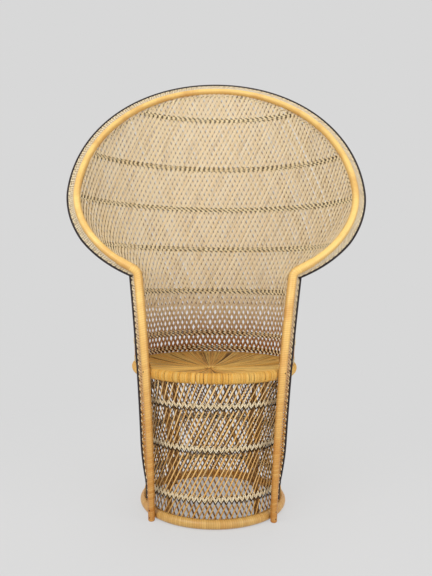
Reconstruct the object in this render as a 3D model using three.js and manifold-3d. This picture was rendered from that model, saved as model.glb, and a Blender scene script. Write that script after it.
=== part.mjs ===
// Peacock chair: a drum seat, two uprights and a high fan back of crossed rods, all of rattan.
// Millimetres, +Z up. The chair faces -Y, and its left side in a front view is -X.

import * as THREE from 'three';
import { mergeVertices } from 'three/addons/utils/BufferGeometryUtils.js';
import Module from 'manifold-3d';

const wasm = await Module();
wasm.setup();

// Clearance between pieces that touch on the real chair
const pieceGap = 0.3;

// Clearance between poles that cross each other
const crossGap = 0.6;

// Clearance along curved poles, whose facets stray a little from their curve
const curveGap = 1.1;

// Base ring, measured over its wrapping
const baseRingRadius = 230;
const baseRingThickness = 28;

// Seat: a pole ring under a cap of peel strips, dished to a hub that lies forward of the middle
const seatRimRadius = 261;
const seatHeight = 447;
const seatRimDepth = 26;
const rimPeelThickness = 1.2;
const rimRibHeight = 0.6;
const seatPeelThickness = 3;
const seatRibHeight = 1.6;
const seatSag = 15;
const seatHubForward = 45;
const seatHubRadius = 14;
const seatPeelCount = 20;
const seatDishShares = [0, 0.5];
const rimTurnShares = [0.75, 0.5, 0.25, 0, -0.25];

// Seat rails, crossed in a half lap under the seat
const seatRailWidth = 16;
const seatRailDepth = 14;

// Uprights: they stand outside both rings and end in the fan's hoop
const uprightFootDiameter = 20;
const uprightFootAngle = THREE.MathUtils.degToRad(42);
const uprightSeatAngle = THREE.MathUtils.degToRad(44);
const uprightBendDrop = 34;
const shoulderReach = 26;

// Fan hoop: an oval that leans back from the shoulders
const hoopDiameter = 27;
const hoopHalfWidth = 441;
const hoopWidestHeight = 998;
const hoopRise = 434;
const shoulderHeight = 729;
const shoulderHalfWidth = 225.5;
const hoopFootDepth = -150;
const hoopLeanDepth = -37;
const hoopTopDepth = 385;

// Shoulder bindings over the butt joints of hoop and uprights
const bindingLength = 44;
const bindingThickness = 1.2;

// Woven back: how far the stem's top swells past the shoulders, its depth there, and halfway up the fan
const stemTopSwell = 40.5;
const stemTopDepth = 278;
const fanBellyDepth = 341;

// Rods of split cane, laid in two crossed layers
const rodWidth = 5;
const rodThickness = 2.6;
const layerGap = 1.6;
const drumRodCount = 46;
const drumRodSweep = THREE.MathUtils.degToRad(52);
const drumRodSteps = 3;
const backRodPitch = 52;
const backRodLeanShare = 0.5;

// Selvages: thin borders that the rods' ends run into
const selvageHalfWidth = 3;
const selvageOverlap = 0.4;
const selvageGap = 2;
const drumSelvageHeight = 7;

// Twined bands, each a row outside the rods and a row inside them
const bandHeight = 22;
const bandThickness = 4;
const drumBandGap = 0.45;
const frontBandGap = 0.95;
const rearBandGap = 0.7;
const drumBands = ['low', 'middle', 'high'];
const drumBandShares = [0.135, 0.5, 0.828];
const stemBands = ['stem_low', 'stem_high'];
const stemBandShares = [0.1, 0.727];
const fanBands = ['fan_low', 'fan_middle', 'fan_upper', 'fan_top'];
const fanBandShares = [0.118, 0.334, 0.556, 0.831];

// Posts inside the drum wall
const postDiameter = 16;
const postAngles = {
  front_left: THREE.MathUtils.degToRad(-132),
  front_right: THREE.MathUtils.degToRad(-48),
  rear_left: THREE.MathUtils.degToRad(132),
  rear_right: THREE.MathUtils.degToRad(48),
};

// Flanges outside the hoop and the uprights, and the rods on their edges
const flangeThickness = 3;
const edgeRodDiameter = 8.6;
const fanFlangeOut = 35;
const fanFlangeBack = 36;
const fanFlangeEndShare = 0.62;
const fanFlangeTaperShare = 0.2;
const sideFlangeOut = 27;
const sideFlangeBack = 36;
const sideFlangeFootHeight = 62;
const sideFlangeFullHeight = 235;
const sideFlangeTopDrop = 8;

// Facets and steps of the curved pieces
const ringFacets = 36;
const bandFacets = 24;
const poleSides = 8;
const postSides = 6;
const hoopSteps = 38;
const uprightSteps = 9;
const bendSteps = 5;
const thinRodSides = 5;
const flangeSteps = 34;
const sideFlangeSteps = 10;
const backBandSteps = 14;
const selvageSideSteps = 22;
const selvageTopSteps = 12;
const selvageFootSteps = 24;
const bindingSteps = 3;
const searchSteps = 400;
const stemSearchSteps = 100;
const bendSearchSteps = 20;
const chordSearchSteps = 12;
const halvings = 12;

// Sizes that follow from the ones above
const seatRingTubeRadius = seatRimDepth / 2 - rimPeelThickness - pieceGap;
const seatRingRadius = seatRimRadius - seatRimDepth / 2;
const seatRingHeight = seatHeight - seatRimDepth / 2;
const baseRingTubeRadius = baseRingThickness / 2;
const baseRingCentreRadius = baseRingRadius - baseRingTubeRadius;
const baseRingFlat = baseRingThickness * Math.tan(Math.PI / poleSides);
const hoopRadius = hoopDiameter / 2;
const uprightFootRadius = uprightFootDiameter / 2;
const postRadius = postDiameter / 2;
const edgeRodRadius = edgeRodDiameter / 2;
const hoopTopHeight = hoopWidestHeight + hoopRise;
const shoulderShare = shoulderHalfWidth / hoopHalfWidth;
const hoopDrop = (hoopWidestHeight - shoulderHeight) / Math.sqrt(1 - shoulderShare * shoulderShare);
const stemTopHalfWidth = shoulderHalfWidth + stemTopSwell;
const rodReach = layerGap / 2 + rodThickness;
const selvageReach = hoopRadius + curveGap + bindingThickness + selvageGap + selvageHalfWidth;
const bandFlatShare = Math.cos(Math.PI / bandFacets);
const seatRingFlatShare = Math.cos(Math.PI / (seatPeelCount * 2));
const edgeRodFlat = edgeRodRadius * Math.cos(Math.PI / thinRodSides);

// Height of the drum's rods, between the tops and undersides of the two rings
const drumRodFoot = baseRingThickness + pieceGap + drumSelvageHeight / 2;
const drumRodHead = seatRingHeight - seatRingTubeRadius - pieceGap - drumSelvageHeight / 2;

// Lowest place on the back's rods, the band on it, and the lowest that the next band can lie
const backFoot = seatHeight + pieceGap + selvageHalfWidth;
const seatBandHeight = backFoot + selvageHalfWidth + pieceGap + bandHeight / 2;
const stemBandFoot = seatBandHeight + bandHeight + pieceGap;

// Heights of bands, at shares of the way from one height to another
function heightsBetween(bands, shares, from, to) {
  return Object.fromEntries(bands.map((name, i) => [name, from + (to - from) * shares[i]]));
}

const drumBandHeights = heightsBetween(drumBands, drumBandShares, drumRodFoot, drumRodHead);
const backBandHeights = {
  ...heightsBetween(stemBands, stemBandShares, stemBandFoot, shoulderHeight),
  ...heightsBetween(fanBands, fanBandShares, shoulderHeight, hoopTopHeight),
};

// Colours of the finishes
const materials = {
  wrappedCane: new THREE.MeshStandardMaterial({ color: 0xdcab5e, roughness: 0.45, metalness: 0 }),
  peel: new THREE.MeshStandardMaterial({ color: 0xc99b55, roughness: 0.5, metalness: 0 }),
  drumRod: new THREE.MeshStandardMaterial({ color: 0xb98a4f, roughness: 0.6, metalness: 0 }),
  backRod: new THREE.MeshStandardMaterial({ color: 0xdcc598, roughness: 0.6, metalness: 0 }),
  twine: new THREE.MeshStandardMaterial({ color: 0x8a6a44, roughness: 0.65, metalness: 0 }),
  blackRod: new THREE.MeshStandardMaterial({ color: 0x2b2524, roughness: 0.5, metalness: 0 }),
  barePole: new THREE.MeshStandardMaterial({ color: 0x8c5f32, roughness: 0.7, metalness: 0 }),
};

// Six times the volume inside a mesh, negative when its faces point in
function sixfoldVolume(geometry) {
  const place = geometry.attributes.position;
  const index = geometry.index;
  const corners = [new THREE.Vector3(), new THREE.Vector3(), new THREE.Vector3()];
  const total = index ? index.count : place.count;
  let sum = 0;
  for (let i = 0; i < total; i += 3) {
    corners.forEach((corner, k) => corner.fromBufferAttribute(place, index ? index.getX(i + k) : i + k));
    sum += corners[0].dot(corners[1].clone().cross(corners[2]));
  }
  return sum;
}

// Turns the triangles round where they face inwards, and keeps only the positions
function facingOut(geometry) {
  const flat = geometry.index ? geometry.toNonIndexed() : geometry;
  flat.deleteAttribute('normal');
  flat.deleteAttribute('uv');
  if (sixfoldVolume(flat) > 0) return flat;
  const values = flat.attributes.position.array;
  for (let i = 0; i < values.length; i += 9) {
    for (let k = 0; k < 3; k += 1) {
      const kept = values[i + 3 + k];
      values[i + 3 + k] = values[i + 6 + k];
      values[i + 6 + k] = kept;
    }
  }
  return flat;
}

// Closed body through rings of points: capped at both ends, or joined end to end as a loop
function loft(rings, isLoop = false) {
  const count = rings[0].length;
  const index = [];
  const bands = isLoop ? rings.length : rings.length - 1;
  for (let r = 0; r < bands; r += 1) {
    const here = r * count;
    const next = ((r + 1) % rings.length) * count;
    for (let i = 0; i < count; i += 1) {
      const j = (i + 1) % count;
      index.push(here + i, here + j, next + j);
      index.push(here + i, next + j, next + i);
    }
  }
  if (!isLoop) {
    const end = (rings.length - 1) * count;
    for (let i = 1; i < count - 1; i += 1) {
      index.push(0, i + 1, i);
      index.push(end, end + i, end + i + 1);
    }
  }
  const geometry = new THREE.BufferGeometry().setFromPoints(rings.flat());
  geometry.setIndex(index);
  return facingOut(geometry);
}

// Joins bodies that are tied to each other on the real chair into one
function joined(geometries) {
  const solids = geometries.map((geometry) => {
    const merged = mergeVertices(geometry);
    return new wasm.Manifold(new wasm.Mesh({
      numProp: 3,
      vertProperties: merged.attributes.position.array,
      triVerts: merged.index.array,
    }));
  });
  const whole = wasm.Manifold.union(solids);
  const largest = whole.decompose().reduce((best, body) => (body.volume() > best.volume() ? body : best));
  const mesh = largest.getMesh();
  const geometry = new THREE.BufferGeometry();
  geometry.setAttribute('position', new THREE.BufferAttribute(mesh.vertProperties, 3));
  geometry.setIndex(new THREE.BufferAttribute(mesh.triVerts, 1));
  return geometry;
}

// Rings of a pole along a curve, each square to it; the first and last can lie square to a line of their own
function poleRings(curve, radiusAt, steps, sides, reference, footNormal = null, headNormal = null) {
  const rings = [];
  const normals = { 0: footNormal, [steps]: headNormal };
  for (let step = 0; step <= steps; step += 1) {
    const share = step / steps;
    const centre = curve.getPoint(share);
    const along = normals[step] ?? curve.getTangent(share);
    const across = reference.clone().addScaledVector(along, -reference.dot(along)).normalize();
    const around = new THREE.Vector3().crossVectors(along, across);
    const radius = radiusAt(centre);
    const ring = [];
    for (let i = 0; i < sides; i += 1) {
      const turn = ((i + 0.5) * 2 * Math.PI) / sides;
      const point = centre.clone().addScaledVector(across, radius * Math.cos(turn));
      ring.push(point.addScaledVector(around, radius * Math.sin(turn)));
    }
    rings.push(ring);
  }
  return rings;
}

// A strip or rod through points with four-cornered sections, from two directions at each point
function boxRing(centre, across, halfWidth, through, near, far) {
  const corner = (width, depth) =>
    centre.clone().addScaledVector(across, width).addScaledVector(through, depth);
  return [corner(-halfWidth, near), corner(halfWidth, near), corner(halfWidth, far), corner(-halfWidth, far)];
}

// Ring of revolution about the chair's upright axis
function revolved(profile, facets) {
  const closed = [...profile, profile[0]];
  return facingOut(new THREE.LatheGeometry(closed, facets).rotateX(Math.PI / 2));
}

// Points of a round profile, with its first corner or the middle of its first flat turned outwards
function roundProfile(centreRadius, centreHeight, reach, sides, firstCorner) {
  const profile = [];
  for (let i = 0; i < sides; i += 1) {
    const turn = ((i + firstCorner) * 2 * Math.PI) / sides;
    profile.push(new THREE.Vector2(
      centreRadius + reach * Math.cos(turn),
      centreHeight + reach * Math.sin(turn),
    ));
  }
  return profile;
}

// A smooth curve from one depth to another, drawn towards the one between
function between(share, first, middle, last) {
  const rest = 1 - share;
  return rest * rest * first + 2 * rest * share * middle + share * share * last;
}

// Side view of the hoop: its depth at a height
function hoopDepth(height) {
  const share = (height - shoulderHeight) / (hoopTopHeight - shoulderHeight);
  return between(share, hoopFootDepth, hoopLeanDepth, hoopTopDepth);
}

// Front view of the hoop: half its width at a height
function hoopWidthAt(height) {
  const reach = height > hoopWidestHeight ? hoopRise : hoopDrop;
  const share = (height - hoopWidestHeight) / reach;
  return hoopHalfWidth * Math.sqrt(Math.max(1 - share * share, 0));
}

// Point of the hoop's centre line at a turn from the top, positive to the right
function hoopPoint(turn) {
  const reach = Math.cos(turn) > 0 ? hoopRise : hoopDrop;
  const height = hoopWidestHeight + reach * Math.cos(turn);
  return new THREE.Vector3(hoopHalfWidth * Math.sin(turn), hoopDepth(height), height);
}

// Turn of the hoop's point that lies a length before another one
function turnBefore(turn, length) {
  const start = hoopPoint(turn);
  return turn - lastInside(0, turn, (back) => start.distanceTo(hoopPoint(turn - back)) < length);
}

const shoulderTurn = Math.acos((shoulderHeight - hoopWidestHeight) / hoopDrop);
const jointTurn = turnBefore(shoulderTurn, shoulderReach);
const hoopEndTurn = turnBefore(jointTurn, pieceGap);

class HoopCurve extends THREE.Curve {
  constructor(fromTurn, toTurn) {
    super();
    this.fromTurn = fromTurn;
    this.toTurn = toTurn;
  }

  getPoint(share) {
    return hoopPoint(this.fromTurn + (this.toTurn - this.fromTurn) * share);
  }
}

// Thickness of an upright at a height
function uprightRadius(point) {
  const share = Math.min(point.z / shoulderHeight, 1);
  return uprightFootRadius + (hoopRadius - uprightFootRadius) * share;
}

function onCircle(radius, angle, side, height) {
  return new THREE.Vector3(side * radius * Math.cos(angle), -radius * Math.sin(angle), height);
}

// Centre line of an upright below its bend, from the floor past both rings
function uprightStem(side) {
  const touchHeight = (baseRingThickness - baseRingFlat) / 2;
  const seatRadius = uprightRadius(new THREE.Vector3(0, 0, seatRingHeight));
  const touchRadius = baseRingRadius + uprightFootRadius + crossGap;
  const touch = onCircle(touchRadius, uprightFootAngle, side, touchHeight);
  const seat = onCircle(seatRimRadius + seatRadius + pieceGap, uprightSeatAngle, side, seatRingHeight);
  const foot = touch.clone().lerp(seat, -touchHeight / (seatRingHeight - touchHeight));
  const shoulder = hoopPoint(side * shoulderTurn);
  const below = new THREE.Vector3(shoulder.x, shoulder.y, shoulder.z - uprightBendDrop);
  return new THREE.CatmullRomCurve3([foot, seat, below]);
}

// The bend at the shoulder, which ends square to the hoop
function uprightBend(side) {
  const stem = uprightStem(side);
  const start = stem.getPoint(1);
  const startAlong = stem.getTangent(1);
  const end = hoopPoint(side * jointTurn);
  const endAlong = new HoopCurve(side * jointTurn, 0).getTangent(0);
  const reach = start.distanceTo(end) / 2;
  return new THREE.CubicBezierCurve3(
    start,
    start.clone().addScaledVector(startAlong, reach),
    end.clone().addScaledVector(endAlong, -reach),
    end,
  );
}

// Points along the straight lines between the rings of a pole
function alongChords(centres, parts) {
  return centres.slice(1).flatMap((next, i) =>
    Array.from({ length: parts }, (_, part) => centres[i].clone().lerp(next, part / parts)));
}

// Centre lines of the poles, as points that the woven back keeps clear of
const rightStemLine = uprightStem(1).getPoints(stemSearchSteps);
const poleLines = [
  ...rightStemLine,
  ...uprightStem(-1).getPoints(stemSearchSteps),
  ...uprightBend(1).getPoints(bendSearchSteps),
  ...uprightBend(-1).getPoints(bendSearchSteps),
  ...alongChords(new HoopCurve(-hoopEndTurn, hoopEndTurn).getPoints(hoopSteps), chordSearchSteps),
];

function distanceToPoles(point) {
  return Math.sqrt(Math.min(...poleLines.map((place) => place.distanceToSquared(point))));
}

// Horizontal section of the fan: an arc through both sides of the hoop and the middle of the back
function fanSection(height) {
  const level = Math.min(height, hoopTopHeight - pieceGap);
  const share = (level - shoulderHeight) / (hoopTopHeight - shoulderHeight);
  const depth = between(share, stemTopDepth, fanBellyDepth, hoopTopDepth);
  const width = hoopWidthAt(level);
  const sagitta = depth - hoopDepth(level);
  const radius = (width * width + sagitta * sagitta) / (2 * sagitta);
  const edge = Math.atan2(width, radius - sagitta);
  return { radius, centre: depth - radius, front: radius, edge };
}

// Horizontal section of the stem: round behind the seat, and drawn in at the front to the uprights
function stemSection(height) {
  const share = (height - seatHeight) / (shoulderHeight - seatHeight);
  const radius = seatRingRadius + (stemTopHalfWidth - seatRingRadius) * share;
  const centre = (stemTopDepth - stemTopHalfWidth) * share;
  const nearer = (best, point) => (Math.abs(point.z - height) < Math.abs(best.z - height) ? point : best);
  const pole = rightStemLine.reduce(nearer);
  const flat = Math.hypot(pole.x, pole.y);
  const inner = flat - uprightRadius(pole) - rodReach - pieceGap;
  const edgeX = (pole.x / flat) * inner;
  const edgeY = (pole.y / flat) * inner;
  const edge = Math.PI - Math.asin(edgeX / radius);
  return { radius, centre, front: (edgeY - centre) / Math.cos(edge), edge };
}

function backSection(height) {
  return height > shoulderHeight ? fanSection(height) : stemSection(height);
}

// Levels at which the rods of the back bend: every band, the shoulders and halfway up the fan's bays
const bandHeights = Object.values(backBandHeights);
const bays = bandHeights.filter((height) => height >= backBandHeights.fan_low);
const halfway = bays.slice(1).map((height, i) => (height + bays[i]) / 2);
const levelHeights = [seatHeight, shoulderHeight, hoopTopHeight, ...halfway, ...bandHeights];
levelHeights.sort((a, b) => a - b);
const levels = levelHeights.map((height) => ({ height, ...backSection(height) }));

// Point of the woven back at a level, by its distance round from the middle of the back
function levelPoint(number, arc) {
  const level = levels[number];
  const turn = arc / level.radius;
  const reach = Math.abs(turn) > Math.PI / 2 ? level.front : level.radius;
  const depth = level.centre + reach * Math.cos(turn);
  return new THREE.Vector3(level.radius * Math.sin(turn), depth, level.height);
}

// Direction through the woven back at a level, away from the sitter
function levelOutward(number, arc) {
  const below = levelPoint(Math.max(number - 1, 0), arc);
  const above = levelPoint(Math.min(number + 1, levels.length - 1), arc);
  const sideways = levelPoint(number, arc + pieceGap).sub(levelPoint(number, arc - pieceGap));
  return above.sub(below).cross(sideways).normalize();
}

// Distance round from the middle of the back to its edge
function edgeArc(height) {
  const section = backSection(height);
  return section.edge * section.radius;
}

function bayOf(height) {
  const found = levels.findIndex((level) => level.height > height);
  return Math.max((found < 0 ? levels.length : found) - 1, 0);
}

// A place on a rod of the back, by the rod's distance round at each height: straight between levels
function backPlace(height, arcAt) {
  const lower = Math.min(bayOf(height), levels.length - 2);
  const upper = lower + 1;
  const share = (height - levels[lower].height) / (levels[upper].height - levels[lower].height);
  const lowerArc = arcAt(levels[lower].height);
  const upperArc = arcAt(levels[upper].height);
  const point = levelPoint(lower, lowerArc).lerp(levelPoint(upper, upperArc), share);
  const outward = levelOutward(lower, lowerArc).lerp(levelOutward(upper, upperArc), share).normalize();
  return { point, outward };
}

// The rod through a place of the back, as its distance round at each height
function rodThrough(arc, height, lean) {
  return (level) => arc + lean * backRodLeanShare * (level - height);
}

// Whether a rod's place lies inside the selvage that borders the back
function isInside(height, arcAt) {
  const { point } = backPlace(height, arcAt);
  return Math.abs(arcAt(height)) < edgeArc(height) && distanceToPoles(point) > selvageReach;
}

// The last place inside, between one that is inside and one that is outside
function lastInside(insideValue, outsideValue, test) {
  let near = insideValue;
  let far = outsideValue;
  for (let step = 0; step < halvings; step += 1) {
    const middle = (near + far) / 2;
    if (test(middle)) near = middle;
    else far = middle;
  }
  return near;
}

// A rod of split cane, flat on the side where the other layer crosses it
function caneRod(places, side) {
  const rings = places.map(({ point, outward }, i) => {
    const before = places[Math.max(i - 1, 0)].point;
    const after = places[Math.min(i + 1, places.length - 1)].point;
    const across = after.clone().sub(before).cross(outward).normalize();
    const flat = point.clone().addScaledVector(outward, (side * layerGap) / 2);
    return [
      flat.clone().addScaledVector(across, rodWidth / 2),
      flat.clone().addScaledVector(across, -rodWidth / 2),
      point.clone().addScaledVector(outward, side * rodReach),
    ];
  });
  return loft(rings);
}

// One layer of the back: rods that all lean one way, each from where it enters to where it leaves
function backLayer(lean, side) {
  const span = hoopTopHeight - backFoot;
  const widest = Math.max(...levels.map((level) => edgeArc(level.height)));
  const reach = Math.ceil((widest + span * backRodLeanShare) / backRodPitch);
  const rods = [];
  for (let number = -reach; number <= reach; number += 1) {
    const arcAt = rodThrough(number * backRodPitch, seatHeight, lean);
    const test = (height) => isInside(height, arcAt);
    const heightOf = (_, step) => backFoot + (span * step) / searchSteps;
    const heights = Array.from({ length: searchSteps + 1 }, heightOf).filter(test);
    if (heights.length > 2) {
      const first = heights[0];
      const last = heights[heights.length - 1];
      const pace = span / searchSteps;
      const low = first > backFoot ? lastInside(first, first - pace, test) : first;
      const high = lastInside(last, last + pace, test);
      const bends = levelHeights.filter((height) => height > low + rodWidth && height < high - rodWidth);
      rods.push(caneRod([low, ...bends, high].map((height) => backPlace(height, arcAt)), side));
    }
  }
  return rods;
}

// Selvage round the back's rods: along the seat, up the uprights and round inside the hoop
function backSelvage() {
  const isWithin = (arc, height) => isInside(height, () => arc);
  const sideArc = (height, way) => lastInside(0, edgeArc(height) * way, (arc) => isWithin(arc, height));
  const topOf = (arc) =>
    lastInside(backBandHeights.fan_upper, hoopTopHeight, (height) => isWithin(arc, height));
  const turnHeight = (backBandHeights.fan_upper + backBandHeights.fan_top) / 2;
  const sideHeights = Array.from({ length: selvageSideSteps + 1 }, (_, step) =>
    backFoot + ((turnHeight - backFoot) * step) / selvageSideSteps);
  const left = sideHeights.map((height) => [sideArc(height, -1), height]);
  const right = sideHeights.map((height) => [sideArc(height, 1), height]).reverse();
  const topFrom = left[left.length - 1][0];
  const topTo = right[0][0];
  const top = Array.from({ length: selvageTopSteps - 1 }, (_, step) => {
    const turn = (Math.PI * (step + 1)) / selvageTopSteps;
    const arc = (topFrom + topTo) / 2 + ((topFrom - topTo) / 2) * Math.cos(turn);
    return [arc, topOf(arc)];
  });
  const footFrom = right[right.length - 1][0];
  const footTo = left[0][0];
  const foot = Array.from({ length: selvageFootSteps - 1 }, (_, step) =>
    [footFrom + ((footTo - footFrom) * (step + 1)) / selvageFootSteps, backFoot]);
  const places = [...left, ...top, ...right, ...foot].map(([arc, height]) => backPlace(height, () => arc));
  const rings = places.map(({ point, outward }, i) => {
    const before = places[(i + places.length - 1) % places.length].point;
    const after = places[(i + 1) % places.length].point;
    const across = after.clone().sub(before).cross(outward).normalize();
    const halfDepth = rodReach + selvageOverlap;
    return boxRing(point, across, selvageHalfWidth, outward, -halfDepth, halfDepth);
  });
  return loft(rings, true);
}

// A row of a twined band across the back, in front of the rods (-1) or behind them (1), between the selvages
function backBand(height, side) {
  const widest = edgeArc(height);
  const { radius } = backSection(height);
  const swell = radius * (1 - Math.cos(widest / backBandSteps / radius));
  const halfHeight = bandHeight / 2;
  const near = rodReach + (side > 0 ? rearBandGap + swell : frontBandGap);
  const far = near + bandThickness;
  const ringAt = (arc) => {
    const heights = [Math.max(height - halfHeight, seatHeight + pieceGap), height, height + halfHeight];
    const places = heights.map((level) => backPlace(level, () => arc));
    const move = ({ point, outward }, depth) => point.addScaledVector(outward, side * depth);
    const offset = (depth) => places.map((place) => move(place, depth));
    return [...offset(near).map((point) => point.clone()), ...offset(far - near).reverse()];
  };
  const isClear = (arc) => {
    const nearest = Math.min(...ringAt(arc).map((corner) => distanceToPoles(corner)));
    return nearest > selvageReach + selvageHalfWidth + selvageGap;
  };
  let reach = widest / searchSteps;
  while (reach < widest && isClear(reach)) reach += widest / searchSteps;
  reach -= widest / searchSteps;
  const rings = [];
  for (let step = 0; step <= backBandSteps; step += 1) {
    rings.push(ringAt(reach * ((2 * step) / backBandSteps - 1)));
  }
  return loft(rings);
}

// Radius of the drum's wall at a height: straight leaning rods give it its waist
function drumRadius(height, offset) {
  const share = (height - drumRodFoot) / (drumRodHead - drumRodFoot);
  const foot = (baseRingCentreRadius + offset) * (1 - share);
  const head = (seatRingRadius + offset) * share;
  return Math.sqrt(foot * foot + head * head + 2 * foot * head * Math.cos(drumRodSweep));
}

// One layer of the drum: straight rods from ring to ring, which turn their flats to the drum's wall
function drumLayer(lean, side) {
  const rods = [];
  for (let number = 0; number < drumRodCount; number += 1) {
    const middle = (number * 2 * Math.PI) / drumRodCount;
    const endAt = (share, radius, height) => {
      const angle = middle + lean * share * drumRodSweep;
      return new THREE.Vector3(radius * Math.cos(angle), radius * Math.sin(angle), height);
    };
    const foot = endAt(-1 / 2, baseRingCentreRadius, drumRodFoot);
    const head = endAt(1 / 2, seatRingRadius, drumRodHead);
    const points = new THREE.LineCurve3(foot, head).getPoints(drumRodSteps);
    rods.push(caneRod(points.map((point) => ({ point, outward: point.clone().setZ(0).normalize() })), side));
  }
  return rods;
}

// Selvage ring at the foot of the drum's rods, with one facet for each rod of a layer
function drumSelvage() {
  const half = drumSelvageHeight / 2;
  const reach = rodReach + selvageOverlap;
  const swell = 1 / Math.cos(Math.PI / drumRodCount);
  return revolved([[-reach, -half], [-reach, half], [reach * swell, half], [reach * swell, -half]].map(
    ([across, up]) => new THREE.Vector2(baseRingCentreRadius + across, drumRodFoot + up),
  ), drumRodCount);
}

// A row of a twined band round the drum, outside the rods (1) or inside them (-1)
function drumBand(height, side) {
  const low = height - bandHeight / 2;
  const high = height + bandHeight / 2;
  const seat = side * (rodReach + drumBandGap);
  const swell = side > 0 ? 1 / bandFlatShare : 1;
  const near = (level) => drumRadius(level, seat) * swell;
  return revolved([
    new THREE.Vector2(near(low), low),
    new THREE.Vector2(near(high), high),
    new THREE.Vector2(near(high) + side * bandThickness, high),
    new THREE.Vector2(near(low) + side * bandThickness, low),
  ], bandFacets);
}

// A post inside the drum: it follows the waist and touches both rings from within
function drumPost(angle) {
  const wallAt = (height) =>
    (drumRadius(height, -(rodReach + drumBandGap)) - bandThickness - crossGap) * bandFlatShare;
  const foot = baseRingRadius - baseRingThickness - postRadius - curveGap;
  const head = (seatRingRadius - seatRingTubeRadius) * seatRingFlatShare - postRadius - pieceGap;
  const waist = (drumBandHeights.low + drumBandHeights.middle) / 2;
  const heights = [drumBandHeights.low, waist, drumBandHeights.middle, drumBandHeights.high];
  const path = [
    [foot, 0],
    [foot, baseRingTubeRadius],
    ...heights.map((height) => [Math.min(wallAt(height) - postRadius - pieceGap, head), height]),
    [head, seatRingHeight],
  ];
  const curve = new THREE.CatmullRomCurve3(path.map(([radius, height]) =>
    new THREE.Vector3(radius * Math.cos(angle), radius * Math.sin(angle), height)));
  const reference = new THREE.Vector3(-Math.sin(angle), Math.cos(angle), 0);
  const upright = new THREE.Vector3(0, 0, 1);
  return loft(poleRings(curve, () => postRadius, path.length - 1, postSides, reference, upright, upright));
}

// Seat weave: strips from the hub over the seat ring and down its outside
function seatWeave() {
  const tube = seatRingTubeRadius + pieceGap;
  const hubHeight = seatHeight - seatSag;
  const corners = seatPeelCount * 2;
  const rimTurns = rimTurnShares.map((share) => share * Math.PI);
  const rimPoint = (angle, turn, reach) => new THREE.Vector3(
    (seatRingRadius + reach * Math.cos(turn)) * Math.cos(angle),
    (seatRingRadius + reach * Math.cos(turn)) * Math.sin(angle),
    seatRingHeight + reach * Math.sin(turn),
  );
  const angleOf = (i) => (i * 2 * Math.PI) / corners;
  const around = (place) => Array.from({ length: corners }, (_, i) => place(angleOf(i), i % 2));
  const dishPoint = (angle, share, drop) => {
    const hub = new THREE.Vector3(
      seatHubRadius * Math.cos(angle),
      seatHubRadius * Math.sin(angle) - seatHubForward,
      hubHeight - drop,
    );
    const edge = rimPoint(angle, rimTurns[0], tube + rimPeelThickness);
    edge.z -= drop;
    const point = hub.clone().lerp(edge, share);
    point.z = hub.z + (edge.z - hub.z) * share * share;
    return point;
  };
  const top = seatDishShares.map((share) =>
    around((angle, odd) => dishPoint(angle, share, odd * seatRibHeight)));
  const outside = rimTurns.map((turn) =>
    around((angle, odd) => rimPoint(angle, turn, tube + rimPeelThickness - odd * rimRibHeight)));
  const inside = [...rimTurns].reverse().map((turn) => around((angle) => rimPoint(angle, turn, tube)));
  const under = [...seatDishShares].reverse().map((share) =>
    around((angle) => dishPoint(angle, share, seatPeelThickness)));
  return loft([...top, ...outside, ...inside, ...under]);
}

// Seat rail with half its depth cut away in the middle, so that the other rail laps it
function seatRail(isNotchedAbove) {
  const top = seatHeight - seatSag - seatPeelThickness - pieceGap;
  const bottom = top - seatRailDepth;
  const middle = (top + bottom) / 2;
  const drop = seatRingHeight - top;
  const touch = seatRingTubeRadius + pieceGap;
  const half = seatRingRadius - Math.sqrt(Math.max(touch * touch - drop * drop, 0)) - crossGap;
  const lap = seatRailWidth / 2 + pieceGap;
  const cut = isNotchedAbove ? middle - pieceGap / 2 : middle + pieceGap / 2;
  const whole = [[-half, bottom], [half, bottom], [half, top], [-half, top]];
  const notch = isNotchedAbove
    ? [[lap, top], [lap, cut], [-lap, cut], [-lap, top]]
    : [[-lap, bottom], [-lap, cut], [lap, cut], [lap, bottom]];
  const outline = isNotchedAbove
    ? [whole[0], whole[1], whole[2], ...notch, whole[3]]
    : [whole[0], ...notch, whole[1], whole[2], whole[3]];
  const shape = new THREE.Shape(outline.map(([x, z]) => new THREE.Vector2(x, z)));
  const geometry = new THREE.ExtrudeGeometry(shape, { depth: seatRailWidth, bevelEnabled: false });
  geometry.translate(0, 0, -seatRailWidth / 2);
  geometry.rotateX(Math.PI / 2);
  if (isNotchedAbove) geometry.rotateZ(Math.PI / 2);
  return facingOut(geometry);
}

// Direction square to the slope of the hoop, which turns one side of each ring to the front
const hoopSlope = new THREE.Vector3(0, hoopTopHeight - shoulderHeight, hoopFootDepth - hoopTopDepth);
hoopSlope.normalize();

// The hoop's pole, from joint to joint
function fanHoop() {
  const curve = new HoopCurve(-hoopEndTurn, hoopEndTurn);
  return loft(poleRings(curve, () => hoopRadius, hoopSteps, poleSides, hoopSlope));
}

// An upright: a pole that thickens as it rises, bends at the shoulder and butts against the hoop
function upright(side) {
  const sideways = new THREE.Vector3(1, 0, 0);
  const up = new THREE.Vector3(0, 0, 1);
  const forward = new THREE.Vector3(0, -1, 0);
  const stem = poleRings(uprightStem(side), uprightRadius, uprightSteps, poleSides, sideways, up);
  const bend = poleRings(uprightBend(side), () => hoopRadius, bendSteps, poleSides, forward);
  const turned = bend.map((ring) => matchRing(ring, stem[stem.length - 1], bend[0]));
  return loft([...stem, ...turned.slice(1)]);
}

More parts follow.
